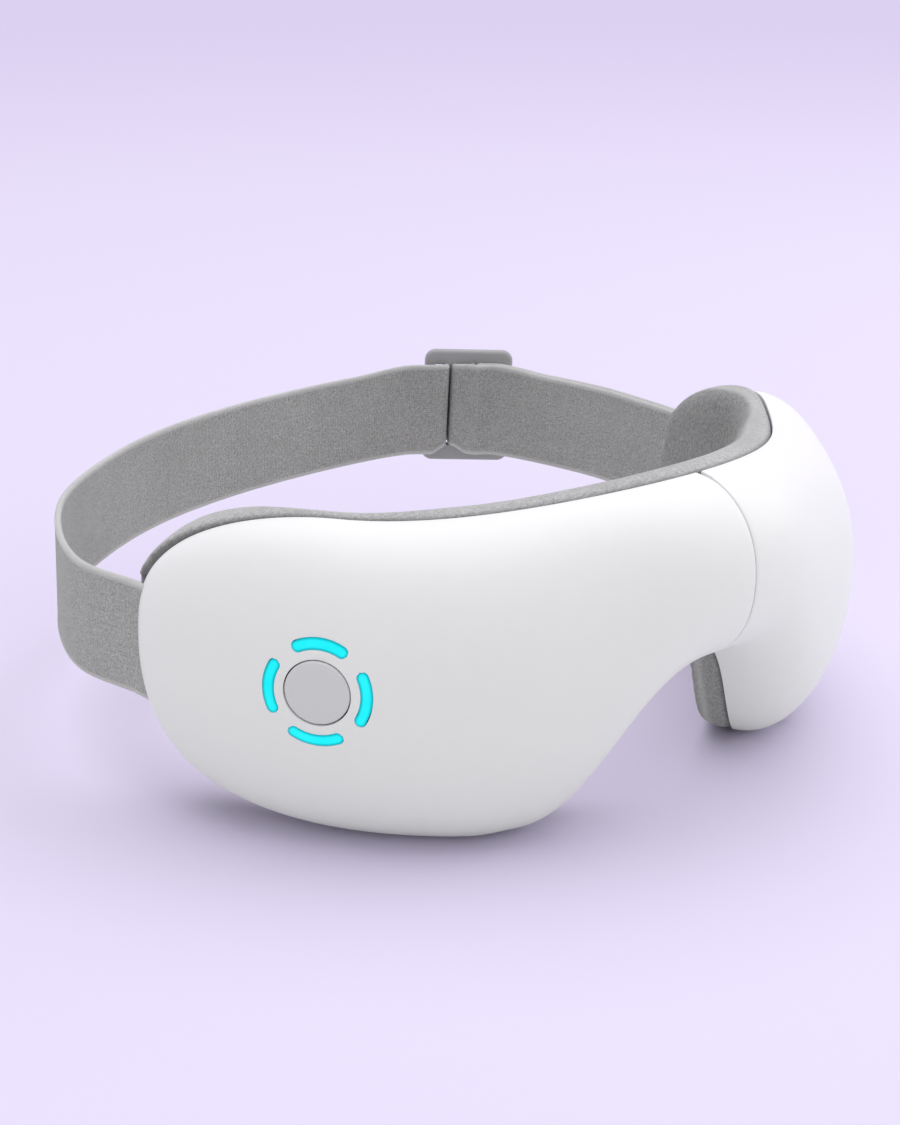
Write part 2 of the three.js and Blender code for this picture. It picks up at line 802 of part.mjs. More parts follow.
function boardPosts() {
  const limit = solid(lobeBody({ inset: shellWall / 2, steps: 14 }));
  const reach = buttonBoardRadius * boardPostShare;
  return Array.from({ length: ringLights }, (_, i) => {
    const angle = lightAngle(i + 0.5);
    const length = buttonBoardSetback - fitGap;
    const post = new THREE.CylinderGeometry(boardPostRadius, boardPostRadius, length, 10);
    post.translate(reach * Math.cos(angle), (buttonBoardSetback - fitGap) / 2, reach * Math.sin(angle));
    return solid(inFrame(post, buttonFrame)).intersect(limit);
  });
}

function buttonOpenings() {
  const hole = acrossCylinder(buttonRadius + slideGap, -lobeBulge / 4, flangeFront, 28, buttonFrame);
  const roomRadius = buttonRadius + buttonFlange + slideGap;
  const room = acrossCylinder(roomRadius, flangeFront - fitGap, lobeBulge, 28, buttonFrame);
  const slots = Array.from({ length: ringLights }, (_, i) => arcPrism(i, slideGap, emitterFront));
  return [solid(hole), solid(room), ...slots];
}

// Electronics, laid out on the flat deck of each rear frame

function deckBox(width, thickness, height, x, front, z) {
  return inFrame(boxAt(width, thickness, height, x, -front - thickness / 2, z), deckFrame);
}

const boardFront = deckFront + standoffHeight + fitGap;

function standoffs() {
  const across = mainBoardWidth / 2 - chipWidth / 3;
  const up = mainBoardHeight / 2 - chipWidth / 3;
  return [[-1, -1], [1, -1], [1, 1], [-1, 1]].map(([x, z]) => {
    const move = new THREE.Matrix4().makeTranslation(mainBoardShift + x * across, 0, z * up);
    const frame = deckFrame.clone().multiply(move);
    return solid(acrossCylinder(chipThickness, -deckFront - standoffHeight, -deckFront / 2, 12, frame));
  });
}

const cableLevel = noseArchHeight + cableArchGap;

function mainBoard() {
  const board = deckBox(mainBoardWidth, boardThickness, mainBoardHeight, mainBoardShift, boardFront, 0);
  const top = boardFront + boardThickness / 2;
  const chipDepth = chipThickness + boardThickness / 2;
  const chip = deckBox(chipWidth, chipDepth, chipWidth, mainBoardShift, top, 0);
  const beside = mainBoardShift + chipWidth * chipPitchShare;
  const smallChip = deckBox(chipWidth / 2, chipDepth, chipWidth * smallChipShare, beside, top, chipWidth / 2);
  const left = mainBoardShift - mainBoardWidth / 2 + connectorDepth / 2;
  const level = cableLevel - deckCentreHeight;
  const plug = deckBox(connectorDepth, connectorHeight, connectorWidth, left, top, level);
  return join(solid(board), solid(chip), solid(smallChip), solid(plug));
}

function roundedShape(width, height, corner) {
  const shape = new THREE.Shape();
  const [w, h] = [width / 2 - corner, height / 2 - corner];
  shape.absarc(w, h, corner, 0, Math.PI / 2, false);
  shape.absarc(-w, h, corner, Math.PI / 2, Math.PI, false);
  shape.absarc(-w, -h, corner, Math.PI, 1.5 * Math.PI, false);
  shape.absarc(w, -h, corner, 1.5 * Math.PI, 2 * Math.PI, false);
  return shape;
}

function battery() {
  const front = deckFront + fitGap;
  const shape = roundedShape(batteryWidth, batteryHeight, batteryCorner);
  const block = frontPrism(shape, -front - batteryThickness, -front, 3);
  return solid(inFrame(block.translate(batteryShift, 0, batteryLift), deckFrame));
}

function airPump() {
  const centre = -deckFront - fitGap - pumpRadius;
  const body = uprightCylinder(pumpRadius, pumpLength, 24).translate(pumpShift, centre, 0);
  const nozzleMiddle = pumpLength / 2 + pumpNozzleLength / 2 - cutOver / 2;
  const nozzle = uprightCylinder(pumpNozzleRadius, pumpNozzleLength + cutOver, 14);
  nozzle.translate(pumpShift, centre, nozzleMiddle);
  return join(solid(inFrame(body, deckFrame)), solid(inFrame(nozzle, deckFrame)));
}

function vibrationMotor(shift) {
  const place = deckFrame.clone().multiply(new THREE.Matrix4().makeTranslation(shift, 0, 0));
  const front = deckFront + fitGap;
  return solid(acrossCylinder(motorRadius, -front - motorThickness, -front, 24, place));
}

const chargeBoardTop = batteryLift - batteryHeight / 2 - 2 * fitGap;
const chargePortFront = deckFront + boardThickness + 2 * fitGap;

function portBottom() {
  const along = rimLength * deckShare + chargePortShift;
  const { middle, half } = insetOutline(along, rimLength, 0);
  const out = chargePortFront + chargePortThickness / 2;
  return middle - half * rounded(out / bulgeAt(along, rimLength, 0), crownRoundness) - deckCentreHeight;
}

function chargeBoard() {
  const low = portBottom() + shellWall + 2 * fitGap;
  const height = chargeBoardTop - low;
  const [front, middle] = [deckFront + fitGap, low + height / 2];
  return solid(deckBox(chargeBoardWidth, boardThickness, height, chargePortShift, front, middle));
}

function chargePort(spare, reach) {
  const low = portBottom() + 3 * fitGap - reach;
  const height = chargePortLength + reach;
  const width = chargePortWidth + 2 * spare;
  const corner = chargePortThickness / 2 - fitGap;
  const shape = roundedShape(width, height, corner);
  const block = frontPrism(shape, -chargePortThickness - 2 * spare, 0, 3).translate(chargePortShift, 0, 0);
  return inFrame(block.translate(0, -chargePortFront + spare, low + height / 2), deckFrame);
}

function chargeReceptacle() {
  const mouth = chargePort(-shellWall / 4, 0).translate(0, 0, -chargePortLength / 3);
  return solid(chargePort(0, 0)).subtract(solid(mouth));
}

function chargeSlot() {
  return solid(chargePort(slideGap, lobeBulge)).subtract(solid(deckBox(
    deckWidth, lobeBulge, deckHeight, chargePortShift, 0, deckHeight / 2 + portBottom() + chargePortLength,
  )));
}

// Air hose from the pump to both airbags, and the cable between the halves

function deckPoint(x, out, z) {
  return new THREE.Vector3(x, -out, z).applyMatrix4(deckFrame);
}

function otherSide(point) {
  return new THREE.Vector3(-point.x, point.y, point.z);
}

function tube(points, radius, sides) {
  const path = new THREE.CatmullRomCurve3(points, false, 'centripetal');
  const shape = new THREE.Shape();
  for (let i = 0; i < sides; i += 1) {
    const angle = 2 * Math.PI * i / sides;
    if (i === 0) shape.moveTo(radius, 0);
    else shape.lineTo(radius * Math.cos(angle), radius * Math.sin(angle));
  }
  shape.closePath();
  const steps = Math.ceil(path.getLength() / (4 * radius));
  return solid(new THREE.ExtrudeGeometry(shape, { steps, extrudePath: path, bevelEnabled: false }));
}

function hoseEntry(side) {
  const entry = [
    rimPoint(hoseEntryAlong, bridgeRouteDepth, hoseEntryLevel + hoseClimb),
    rimPoint(hoseEntryAlong, deckFront + hoseClimb, hoseEntryLevel),
    rimPoint(hoseEntryAlong, deckFront, hoseEntryLevel),
    rimPoint(hoseEntryAlong, 0, hoseEntryLevel),
  ];
  return side > 0 ? entry : entry.map(otherSide);
}

const hoseRouteLevel = hoseEntryLevel + 2 * hoseClimb;

function airHose() {
  const out = deckFront + fitGap + pumpRadius;
  const nozzleTop = pumpLength / 2 + pumpNozzleLength + fitGap;
  const fork = (rimLength * deckShare + pumpShift + hoseEntryAlong) / 2;
  const start = [
    deckPoint(pumpShift, out, nozzleTop),
    deckPoint(pumpShift, out, nozzleTop + hoseClimb),
    rimPoint(fork, out, hoseRouteLevel),
  ];
  const right = tube([...start, ...hoseEntry(1)], hoseRadius, 6);
  const away = rimPoint(hoseEntryAlong * hoseBranchShare + bridgeRouteShift / 2, out, hoseRouteLevel);
  const middle = [1, 0, -1].map((share) =>
    new THREE.Vector3(share * bridgeRouteShift, -bridgeRouteDepth, hoseRouteLevel));
  const branch = [start[2], away, ...middle, otherSide(away), otherSide(start[2]), ...hoseEntry(-1)];
  return right.add(tube(branch, hoseRadius, 6));
}

function hoseHole() {
  const place = rimFrame(hoseEntryAlong, hoseEntryLevel);
  return solid(acrossCylinder(hoseRadius + fitGap, -lobeBulge / 2, cutOver, 12, place));
}

// Even places along a smooth plan curve, moved to its left by a distance
function evenPlaces(points, distance, count) {
  const places = points.map((p) => new THREE.Vector3(p.x, p.y, 0));
  const curve = new THREE.CatmullRomCurve3(places, false, 'centripetal');
  return Array.from({ length: count + 1 }, (_, i) => {
    const point = curve.getPointAt(i / count);
    const tangent = curve.getTangentAt(i / count);
    return new THREE.Vector2(point.x - tangent.y * distance, point.y + tangent.x * distance);
  });
}

// The outline of a band of the given thickness along plan points
function bandEdges(points, thickness) {
  const edge = (side) => points.map((point, i) => {
    const before = points[Math.max(i - 1, 0)];
    const after = points[Math.min(i + 1, points.length - 1)];
    const tangent = after.clone().sub(before).normalize();
    const reach = side * thickness / 2;
    return new THREE.Vector2(point.x - tangent.y * reach, point.y + tangent.x * reach);
  });
  return [...edge(-1), ...edge(1).reverse()];
}

function bridgeCable() {
  const out = boardFront + boardThickness + connectorHeight / 2;
  const left = mainBoardShift - mainBoardWidth / 2 - fitGap;
  const right = batteryShift - batteryWidth / 2 - fitGap;
  const start = otherSide(deckPoint(left, out, 0));
  const end = deckPoint(right, out, 0);
  const route = cableShares.map((share) => new THREE.Vector3(share * bridgeRouteShift, -bridgeRouteDepth, 0));
  const shape = new THREE.Shape(bandEdges(evenPlaces([start, ...route, end], 0, cableSteps), cableThickness));
  const cable = new THREE.ExtrudeGeometry(shape, { depth: cableHeight, bevelEnabled: false });
  return solid(cable.translate(0, 0, cableLevel - cableHeight / 2));
}

function bridgeWindow() {
  const low = cableLevel - cableHeight / 2 - bridgeWindowMargin;
  const high = hoseRouteLevel + 2 * hoseRadius;
  return solid(boxAt(bridgeRouteShift, windowDepth, high - low, 0, -bridgeRouteDepth, (low + high) / 2));
}

// Strap: one webbing from the left pin, through the slider, round the right pin and back to the slider's bar

const sliderAlong = new THREE.Vector2(Math.cos(sliderHeading), Math.sin(sliderHeading));
const sliderOut = new THREE.Vector2(-sliderAlong.y, sliderAlong.x);
const layerPitch = webbingThickness + layerGap;
const barFace = sliderThickness / 2 + layerGap + webbingThickness / 2;

function atSlider(along, out) {
  return sliderPlace.clone().addScaledVector(sliderAlong, along).addScaledVector(sliderOut, out);
}

function strapPlace([acrossShare, backShare]) {
  return new THREE.Vector2(acrossShare * maskHalfWidth, templeDepth + backShare * strapReach);
}

function aroundPin(centre, radius, from, to) {
  return Array.from({ length: pinTurnSteps + 1 }, (_, i) => {
    const angle = from + (to - from) * i / pinTurnSteps;
    return new THREE.Vector2(centre.x + radius * Math.cos(angle), centre.y + radius * Math.sin(angle));
  });
}

// Webbing along plan points, level as the mask stands, with room round it if asked
function webbing(points, spare = 0) {
  const edges = bandEdges(points, webbingThickness + 2 * spare);
  const outline = new wasm.CrossSection([edges.map((p) => [p.x, p.y])], 'NonZero');
  const geometry = geometryOf(outline.extrude(webbingWidth + 2 * spare));
  const places = geometry.attributes.position;
  for (let i = 0; i < places.count; i += 1) {
    const level = strapBottom - Math.tan(faceLean) * (places.getY(i) - templeDepth);
    places.setZ(i, places.getZ(i) + level - spare);
  }
  return solid(geometry);
}

// Points of a layer that wraps the slider's centre bar, layer 0 being the one that lies on it
function barWrap(layer, [from, to]) {
  const middle = -sliderLength / 2 + sliderBar + sliderSlot + sliderCentreBar / 2;
  const spare = layerGap + webbingThickness / 2 + layer * layerPitch;
  return Array.from({ length: barWrapSteps + 1 }, (_, i) => {
    const angle = THREE.MathUtils.degToRad(from + (to - from) * i / barWrapSteps);
    const { across, up } = ovalShares(angle, wrapRoundness);
    return atSlider(middle + across * (sliderCentreBar / 2 + spare), up * (sliderThickness / 2 + spare));
  });
}

const strapWrap = anchorPinRadius + layerGap + webbingThickness / 2;
const exitX = maskHalfWidth - strapExitInset + webbingThickness / 2;
const exitY = templeDepth + strapExitSetback;

// The strap round the right pin, in from one side of the exit and out at the other
function pinTurn(past) {
  return [
    new THREE.Vector2(exitX + layerPitch, exitY + past),
    ...aroundPin(pinCentre, strapWrap, 0, -Math.PI),
    new THREE.Vector2(exitX, exitY + past),
  ];
}

function strapRoom(spare) {
  return webbing(pinTurn(anchorPinSetback), spare);
}

function headStrap() {
  const leftRun = [
    new THREE.Vector2(-exitX - layerPitch, exitY),
    ...strapLeftShares.map(strapPlace),
    ...runLeadShares.map((share) => atSlider(share * sliderLength, -barFace)),
  ];
  const rightRun = [
    ...loopLeadShares.map((share) => atSlider(share * sliderLength, -barFace - layerPitch)),
    ...strapRightShares.map(strapPlace),
    new THREE.Vector2(exitX, exitY),
  ];
  const leftTurn = pinTurn(0).map((p) => new THREE.Vector2(-p.x, p.y));
  const run = [
    ...leftTurn.slice(1, -1).reverse(),
    ...evenPlaces(leftRun, 0, runSteps),
    ...barWrap(1, outerWrapAngles),
    ...evenPlaces(rightRun, layerPitch, loopSteps),
    ...pinTurn(0).slice(1, -1),
    ...evenPlaces(rightRun, 0, loopSteps).reverse(),
    ...barWrap(0, innerWrapAngles),
  ];
  const tail = [
    leftTurn[leftTurn.length - 2],
    leftTurn[leftTurn.length - 1],
    new THREE.Vector2(-exitX, exitY + anchorPinSetback / 2),
  ];
  return join(webbing(run), webbing(tail));
}

function strapSlider() {
  const height = webbingWidth + 2 * sliderSlack + 2 * sliderRail;
  const edge = sliderThickness / 4;
  const block = roundedShape(sliderLength - 2 * edge, height - 2 * edge, sliderCorner);
  const plate = new THREE.ExtrudeGeometry(block, {
    depth: sliderThickness - 2 * edge,
    bevelThickness: edge,
    bevelSize: edge,
    bevelSegments: 2,
    curveSegments: 4,
  });
  plate.rotateX(Math.PI / 2).translate(0, sliderThickness / 2 - edge, 0);
  const barLeft = -sliderLength / 2 + sliderBar + sliderSlot;
  const barRight = barLeft + sliderCentreBar;
  const spans = [[-sliderLength / 2 + sliderBar, barLeft], [barRight, sliderLength / 2 - sliderBar]];
  const slots = spans.map(([from, to]) =>
    solid(boxAt(to - from, 2 * sliderThickness, height - 2 * sliderRail, (from + to) / 2, 0, 0)));
  const lift = strapBottom + webbingWidth / 2 - Math.tan(faceLean) * (sliderPlace.y - templeDepth);
  const frame = geometryOf(cut(solid(plate), ...slots));
  return solid(frame.rotateZ(sliderHeading).translate(sliderPlace.x, sliderPlace.y, lift));
}

// Finishes

function finish(color, roughness, metalness = 0) {
  return new THREE.MeshStandardMaterial({ color, roughness, metalness });
}

const finishes = {
  shell: finish(0xf1f1f3, 0.42),
  frame: finish(0x8d8c92, 0.6),
  cushion: finish(0x9c9aa0, 0.95),
  eyePad: finish(0x5c5a60, 0.9),
  film: finish(0xc98a3c, 0.5),
  airbag: finish(0xd8dadc, 0.4),
  button: finish(0xc9c8cd, 0.45),
  light: finish(0x10e8ff, 0.3),
  board: finish(0x1f6b43, 0.5),
  steel: finish(0xb9bcc2, 0.3, 1),
  battery: finish(0x3a5f9a, 0.4),
  hose: finish(0xe6e6e6, 0.5),
  cable: finish(0xd9822b, 0.5),
  webbing: finish(0x908e93, 0.95),
  slider: finish(0xa9a8ad, 0.5),
  port: finish(0xa7abb1, 0.35, 0.8),
};

// Assembly

const mask = new THREE.Group();

function add(name, body, material, side = 1) {
  const geometry = geometryOf(body);
  const mesh = new THREE.Mesh(side > 0 ? geometry : mirrored(geometry), material);
  mesh.geometry.computeVertexNormals();
  mesh.name = name;
  mask.add(mesh);
}

function addHalf(side) {
  const name = side > 0 ? 'right' : 'left';
  const openings = side > 0 ? [chargeSlot()] : buttonOpenings();
  const extras = side > 0 ? [] : boardPosts();
  const shell = cut(join(frontShell(), ...extras), ...openings, bridgeWindow());
  const frame = side > 0 ? rearFrame(side) : join(rearFrame(side), ...standoffs());
  add(`${name}_front_shell`, shell, finishes.shell, side);
  add(`${name}_rear_frame`, frame.subtract(hoseHole()), finishes.frame, side);
  add(`${name}_cushion`, cushion(), finishes.cushion, side);
  add(`${name}_airbag`, eyeLayer(airbagSetback, airbagThickness, fitGap), finishes.airbag, side);
  add(`${name}_heating_film`, eyeLayer(filmSetback, heatingFilmThickness, fitGap), finishes.film, side);
  add(`${name}_eye_pad`, eyeLayer(eyePadSetback, eyePadThickness, fitGap), finishes.eyePad, side);
  add(`${name}_strap_pin`, pinSolid(anchorPinRadius, fitGap), finishes.steel, side);
  const motorShift = side > 0 ? rightMotorShift : leftMotorShift;
  add(`${name}_vibration_motor`, vibrationMotor(motorShift), finishes.steel, side);
  screwPlaces().forEach((frame, i) => add(`${name}_screw_${i + 1}`, screw(frame), finishes.steel, side));
}

addHalf(1);
addHalf(-1);

add('battery', battery(), finishes.battery);
add('air_pump', airPump(), finishes.steel);
add('charge_board', chargeBoard(), finishes.board);
add('charge_port', chargeReceptacle(), finishes.port);
add('air_hose', airHose(), finishes.hose);
add('bridge_cable', bridgeCable(), finishes.cable);
add('hinge_pin', hingePin(), finishes.steel);
add('bridge_pad', bridgePad(), finishes.cushion);

add('main_board', mainBoard(), finishes.board, -1);
add('button_board', buttonBoard(), finishes.board, -1);
add('tact_switch', tactSwitch(), finishes.port, -1);
add('power_button', powerButton(), finishes.button, -1);
add('switch_plunger', switchPlunger(), finishes.frame, -1);
for (let i = 0; i < ringLights; i += 1) add(`light_guide_${i + 1}`, lightGuide(i), finishes.light, -1);

add('head_strap', headStrap(), finishes.webbing);
add('strap_slider', strapSlider(), finishes.slider);

mask.rotation.x = faceLean;
mask.position.z = -standLevel;
mask.updateMatrixWorld(true);

const group = new THREE.Group();
group.add(mask);
const span = new THREE.Box3().setFromObject(group, true);
const centre = span.getCenter(new THREE.Vector3());
mask.position.x -= centre.x;
mask.position.y -= centre.y;
group.updateMatrixWorld(true);

export default group;
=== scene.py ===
import json
import math

import bmesh
import bpy
from mathutils import Matrix, Vector
from mathutils.bvhtree import BVHTree
from mathutils.kdtree import KDTree

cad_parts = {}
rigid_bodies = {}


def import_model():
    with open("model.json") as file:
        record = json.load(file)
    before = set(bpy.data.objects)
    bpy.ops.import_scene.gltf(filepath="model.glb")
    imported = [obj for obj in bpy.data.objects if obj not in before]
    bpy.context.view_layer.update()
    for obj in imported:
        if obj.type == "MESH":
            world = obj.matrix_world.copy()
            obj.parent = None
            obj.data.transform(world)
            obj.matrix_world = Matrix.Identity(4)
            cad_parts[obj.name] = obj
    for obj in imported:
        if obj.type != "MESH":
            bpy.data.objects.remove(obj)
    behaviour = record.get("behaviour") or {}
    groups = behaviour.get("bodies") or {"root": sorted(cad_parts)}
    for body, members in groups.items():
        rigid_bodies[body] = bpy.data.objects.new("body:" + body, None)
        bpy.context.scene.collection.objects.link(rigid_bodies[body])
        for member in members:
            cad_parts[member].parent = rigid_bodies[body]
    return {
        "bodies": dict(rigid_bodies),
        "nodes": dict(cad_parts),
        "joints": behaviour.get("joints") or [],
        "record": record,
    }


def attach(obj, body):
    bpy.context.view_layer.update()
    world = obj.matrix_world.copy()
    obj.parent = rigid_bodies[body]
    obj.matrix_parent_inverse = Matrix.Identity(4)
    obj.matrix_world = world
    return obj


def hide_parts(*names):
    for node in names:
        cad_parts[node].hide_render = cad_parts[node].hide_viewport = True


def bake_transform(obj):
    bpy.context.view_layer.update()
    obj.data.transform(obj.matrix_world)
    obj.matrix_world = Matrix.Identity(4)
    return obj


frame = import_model()
nodes = frame["nodes"]
fold = next(joint for joint in frame["joints"] if joint["name"] == "fold")
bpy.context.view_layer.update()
scene = bpy.context.scene
mm = 0.001
print("frame loaded:", len(nodes), "nodes")

# Camera, as the photograph was taken

cameraData = {
    "place": (-0.31286, -0.36525, 0.20894),
    "back": (-0.61284, -0.71244, 0.34204),
    "lens": 66.38,
    "sensor": 36.0,
    "clipStart": 0.01,
}


def makeCamera(data):
    camera = bpy.data.objects.new("camera", bpy.data.cameras.new("camera"))
    scene.collection.objects.link(camera)
    camera.data.lens = data["lens"]
    camera.data.sensor_width = data["sensor"]
    camera.location = data["place"]
    camera.rotation_mode = "QUATERNION"
    camera.rotation_quaternion = (-Vector(data["back"])).to_track_quat("-Z", "Y")
    camera.data.clip_start = data["clipStart"]
    scene.camera = camera


makeCamera(cameraData)

# The mask's own shape: drawn upright in millimetres with the bridge at the origin, then leaned and placed

mask = {
    "halfWidth": 90.5,
    "templeDepth": 74.2,
    "templeHeading": 64.8,
    "bridgeHandle": 35.1,
    "templeHandle": 37.8,
    "bridgeTop": 78.7,
    "lobeTop": 70.1,
    "templeHeight": 45.4,
    "noseArchHeight": 37.8,
    "noseHalfWidth": 41,
    "shoulderStart": 78.9,
    "topRoundness": 1.96,
    "bottomRoundness": 3.0,
    "archStepShare": 1.1,
    "footEase": 1.7,
    "footEasePlace": 35,
    "footEaseReach": 14,
    "bridgeBulge": 18.8,
    "lobeBulge": 23.6,
    "bulgeRiseStart": 18,
    "bulgeRiseEnd": 56,
    "bulgeFallStart": 14.7,
    "bulgeEndRoundness": 2.3,
    "crownRoundness": 2.13,
    "lean": 4.05,
    "hingeSetback": 2.8,
    "hingeHeight": 58,
    "seamGap": 0.3,
}

lean = Matrix.Rotation(math.radians(mask["lean"]), 4, "X")
hingePlace = Vector((0, mask["hingeSetback"], mask["hingeHeight"]))
shift = Vector(fold["pos_m"]) - lean @ (hingePlace * mm)
toPart = Matrix.Translation(shift) @ lean @ Matrix.Scale(mm, 4)


def clamp(value, low=0.0, high=1.0):
    return min(max(value, low), high)


def smooth(value, low, high):
    share = clamp((value - low) / (high - low))
    return share * share * (3 - 2 * share)


def smoother(value):
    share = clamp(value)
    return share * share * share * (share * (share * 6 - 15) + 10)


def rounded(share, power):
    return (1 - clamp(share) ** power) ** (1 / power)


def rimBezier(share):
    heading = math.radians(mask["templeHeading"])
    end = Vector((mask["halfWidth"], mask["templeDepth"]))
    handle = end - mask["templeHandle"] * Vector((math.cos(heading), math.sin(heading)))
    start = Vector((0, 0))
    first = Vector((mask["bridgeHandle"], 0))
    rest = 1 - share
    return (start * rest ** 3 + first * (3 * rest * rest * share)
            + handle * (3 * rest * share * share) + end * share ** 3)


rimSteps = 400
rimPoints = [rimBezier(i / rimSteps) for i in range(rimSteps + 1)]
rimReach = [0.0]
for before, after in zip(rimPoints, rimPoints[1:]):
    rimReach.append(rimReach[-1] + (after - before).length)
rimLength = rimReach[-1]


def rimPlace(along):
    inside = clamp(along, 0, rimLength)
    low, high = 0, rimSteps
    while high - low > 1:
        middle = (low + high) // 2
        if rimReach[middle] <= inside:
            low = middle
        else:
            high = middle
    step = rimReach[low + 1] - rimReach[low]
    point = rimPoints[low].lerp(rimPoints[low + 1], (inside - rimReach[low]) / step)
    near, far = max(low - 1, 0), min(low + 2, rimSteps)
    tangent = (rimPoints[far] - rimPoints[near]).normalized()
    if low == 0:
        tangent = Vector((1, 0))
    return point + tangent * (along - inside), tangent


def rimPoint(along, out, height):
    point, tangent = rimPlace(along)
    return Vector((point.x + tangent.y * out, point.y - tangent.x * out, height))


def fullRimPlace(along, length):
    nose = mask["noseHalfWidth"]
    past = max(0, along - nose)
    return min(along, nose) + past * (rimLength - nose) / (length - nose)


noseFootSetback = rimPlace(mask["noseHalfWidth"])[0].y


def outlineAt(along, length, roundness):
    place = fullRimPlace(along, length)
    nose, shoulderStart = mask["noseHalfWidth"], mask["shoulderStart"]
    temple = mask["templeHeight"]
    stance = -math.tan(math.radians(mask["lean"])) * (rimPlace(place)[0].y - noseFootSetback)
    if place < shoulderStart:
        top = mask["bridgeTop"] + (mask["lobeTop"] - mask["bridgeTop"]) * smooth(place, 0, shoulderStart)
    else:
        shoulder = (place - shoulderStart) / (rimLength - shoulderStart)
        top = temple + (mask["lobeTop"] - temple) * rounded(shoulder, mask["topRoundness"])
    if place < nose:
        arch = clamp(place / nose) ** mask["archStepShare"]
        bottom = mask["noseArchHeight"] * (1 - smoother(arch))
    else:
        foot = (place - nose) / (rimLength - nose)
        bottom = temple + (stance - temple) * rounded(foot, roundness)
    bottom += mask["footEase"] * (1 - smooth(abs(place - mask["footEasePlace"]), 0, mask["footEaseReach"]))
    return bottom, top


def bulgeAt(along):
    rise = smooth(along, mask["bulgeRiseStart"], mask["bulgeRiseEnd"])
    fall = (along - mask["bulgeFallStart"]) / (rimLength - mask["bulgeFallStart"])
    bulge = mask["bridgeBulge"] + (mask["lobeBulge"] - mask["bridgeBulge"]) * rise
    return bulge * rounded(fall, mask["bulgeEndRoundness"])


def facePoint(along, rise):
    bottom, top = outlineAt(along, rimLength, mask["bottomRoundness"])
    middle, half = (top + bottom) / 2, (top - bottom) / 2
    out = bulgeAt(along) * rounded(abs(rise), mask["crownRoundness"])
    return rimPoint(along, out, middle + half * rise)


def superOval(angle, power):
    across, up = math.cos(angle), math.sin(angle)
    return math.copysign(abs(across) ** (2 / power), across), math.copysign(abs(up) ** (2 / power), up)


# Meshes

joinGap = 1e-4
looseJoin = 1e-3


def spread(columns, rows, place, join=joinGap):
    # a grid whose points are placed by two shares, with doubled seams and poles closed
    bm = bmesh.new()
    bmesh.ops.create_grid(bm, x_segments=columns, y_segments=rows, size=0.5)
    for vert in bm.verts:
        vert.co = place(clamp(vert.co.x + 0.5), clamp(vert.co.y + 0.5))
    bmesh.ops.remove_doubles(bm, verts=bm.verts, dist=join)
    bmesh.ops.recalc_face_normals(bm, faces=bm.faces)
    return bm


def placed(bm, side=1):
    if side < 0:
        bmesh.ops.scale(bm, vec=(-1, 1, 1), verts=bm.verts)
    bmesh.ops.transform(bm, matrix=toPart, verts=bm.verts)
    bmesh.ops.recalc_face_normals(bm, faces=bm.faces)
    return bm


def beveled(bm, edges, offset, segments):
    bmesh.ops.bevel(bm, geom=edges, offset=offset, segments=segments, affect="EDGES",
                    profile=0.5, material=-1)


def softened(bm, sharpAngle):
    limit = math.radians(sharpAngle)
    for face in bm.faces:
        face.smooth = True
    for edge in bm.edges:
        edge.smooth = edge.calc_face_angle(0) < limit


def asObject(bm, name, material=None, sharpAngle=40):
    softened(bm, sharpAngle)
    mesh = bpy.data.meshes.new(name)
    bm.to_mesh(mesh)
    bm.free()
    obj = bpy.data.objects.new(name, mesh)
    scene.collection.objects.link(obj)
    if material:
        mesh.materials.append(material)
    return obj


def settle(obj, sharpAngle=40):
    graph = bpy.context.evaluated_depsgraph_get()
    made = bpy.data.meshes.new_from_object(obj.evaluated_get(graph))
    obj.modifiers.clear()
    old = obj.data
    obj.data = made
    made.name = obj.name
    bpy.data.meshes.remove(old)
    bm = bmesh.new()
    bm.from_mesh(made)
    softened(bm, sharpAngle)
    bm.to_mesh(made)
    bm.free()
    return obj


def walled(obj, thickness, offset=-1):
    wall = obj.modifiers.new("wall", "SOLIDIFY")
    wall.thickness = thickness * mm
    wall.offset = offset
    settle(obj)


def edged(obj, width, segments, bevelAngle, sharpAngle=40):
    edge = obj.modifiers.new("edge", "BEVEL")
    edge.width = width * mm
    edge.segments = segments
    edge.limit_method = "ANGLE"
    edge.angle_limit = math.radians(bevelAngle)
    settle(obj, sharpAngle)


def evened(obj, voxel):
    even = obj.modifiers.new("even", "REMESH")
    even.mode = "VOXEL"
    even.voxel_size = voxel * mm


def treeOf(points):
    tree = KDTree(len(points))
    for index, point in enumerate(points):
        tree.insert(point, index)
    tree.balance()
    return tree


def cutWith(obj, cutters, sharpAngle=40):
    for cutter in cutters:
        modifier = obj.modifiers.new("cut", "BOOLEAN")
        modifier.operation = "DIFFERENCE"
        modifier.solver = "EXACT"
        modifier.object = cutter
    settle(obj, sharpAngle)
    for cutter in cutters:
        bpy.data.objects.remove(cutter)
    return obj


# Materials

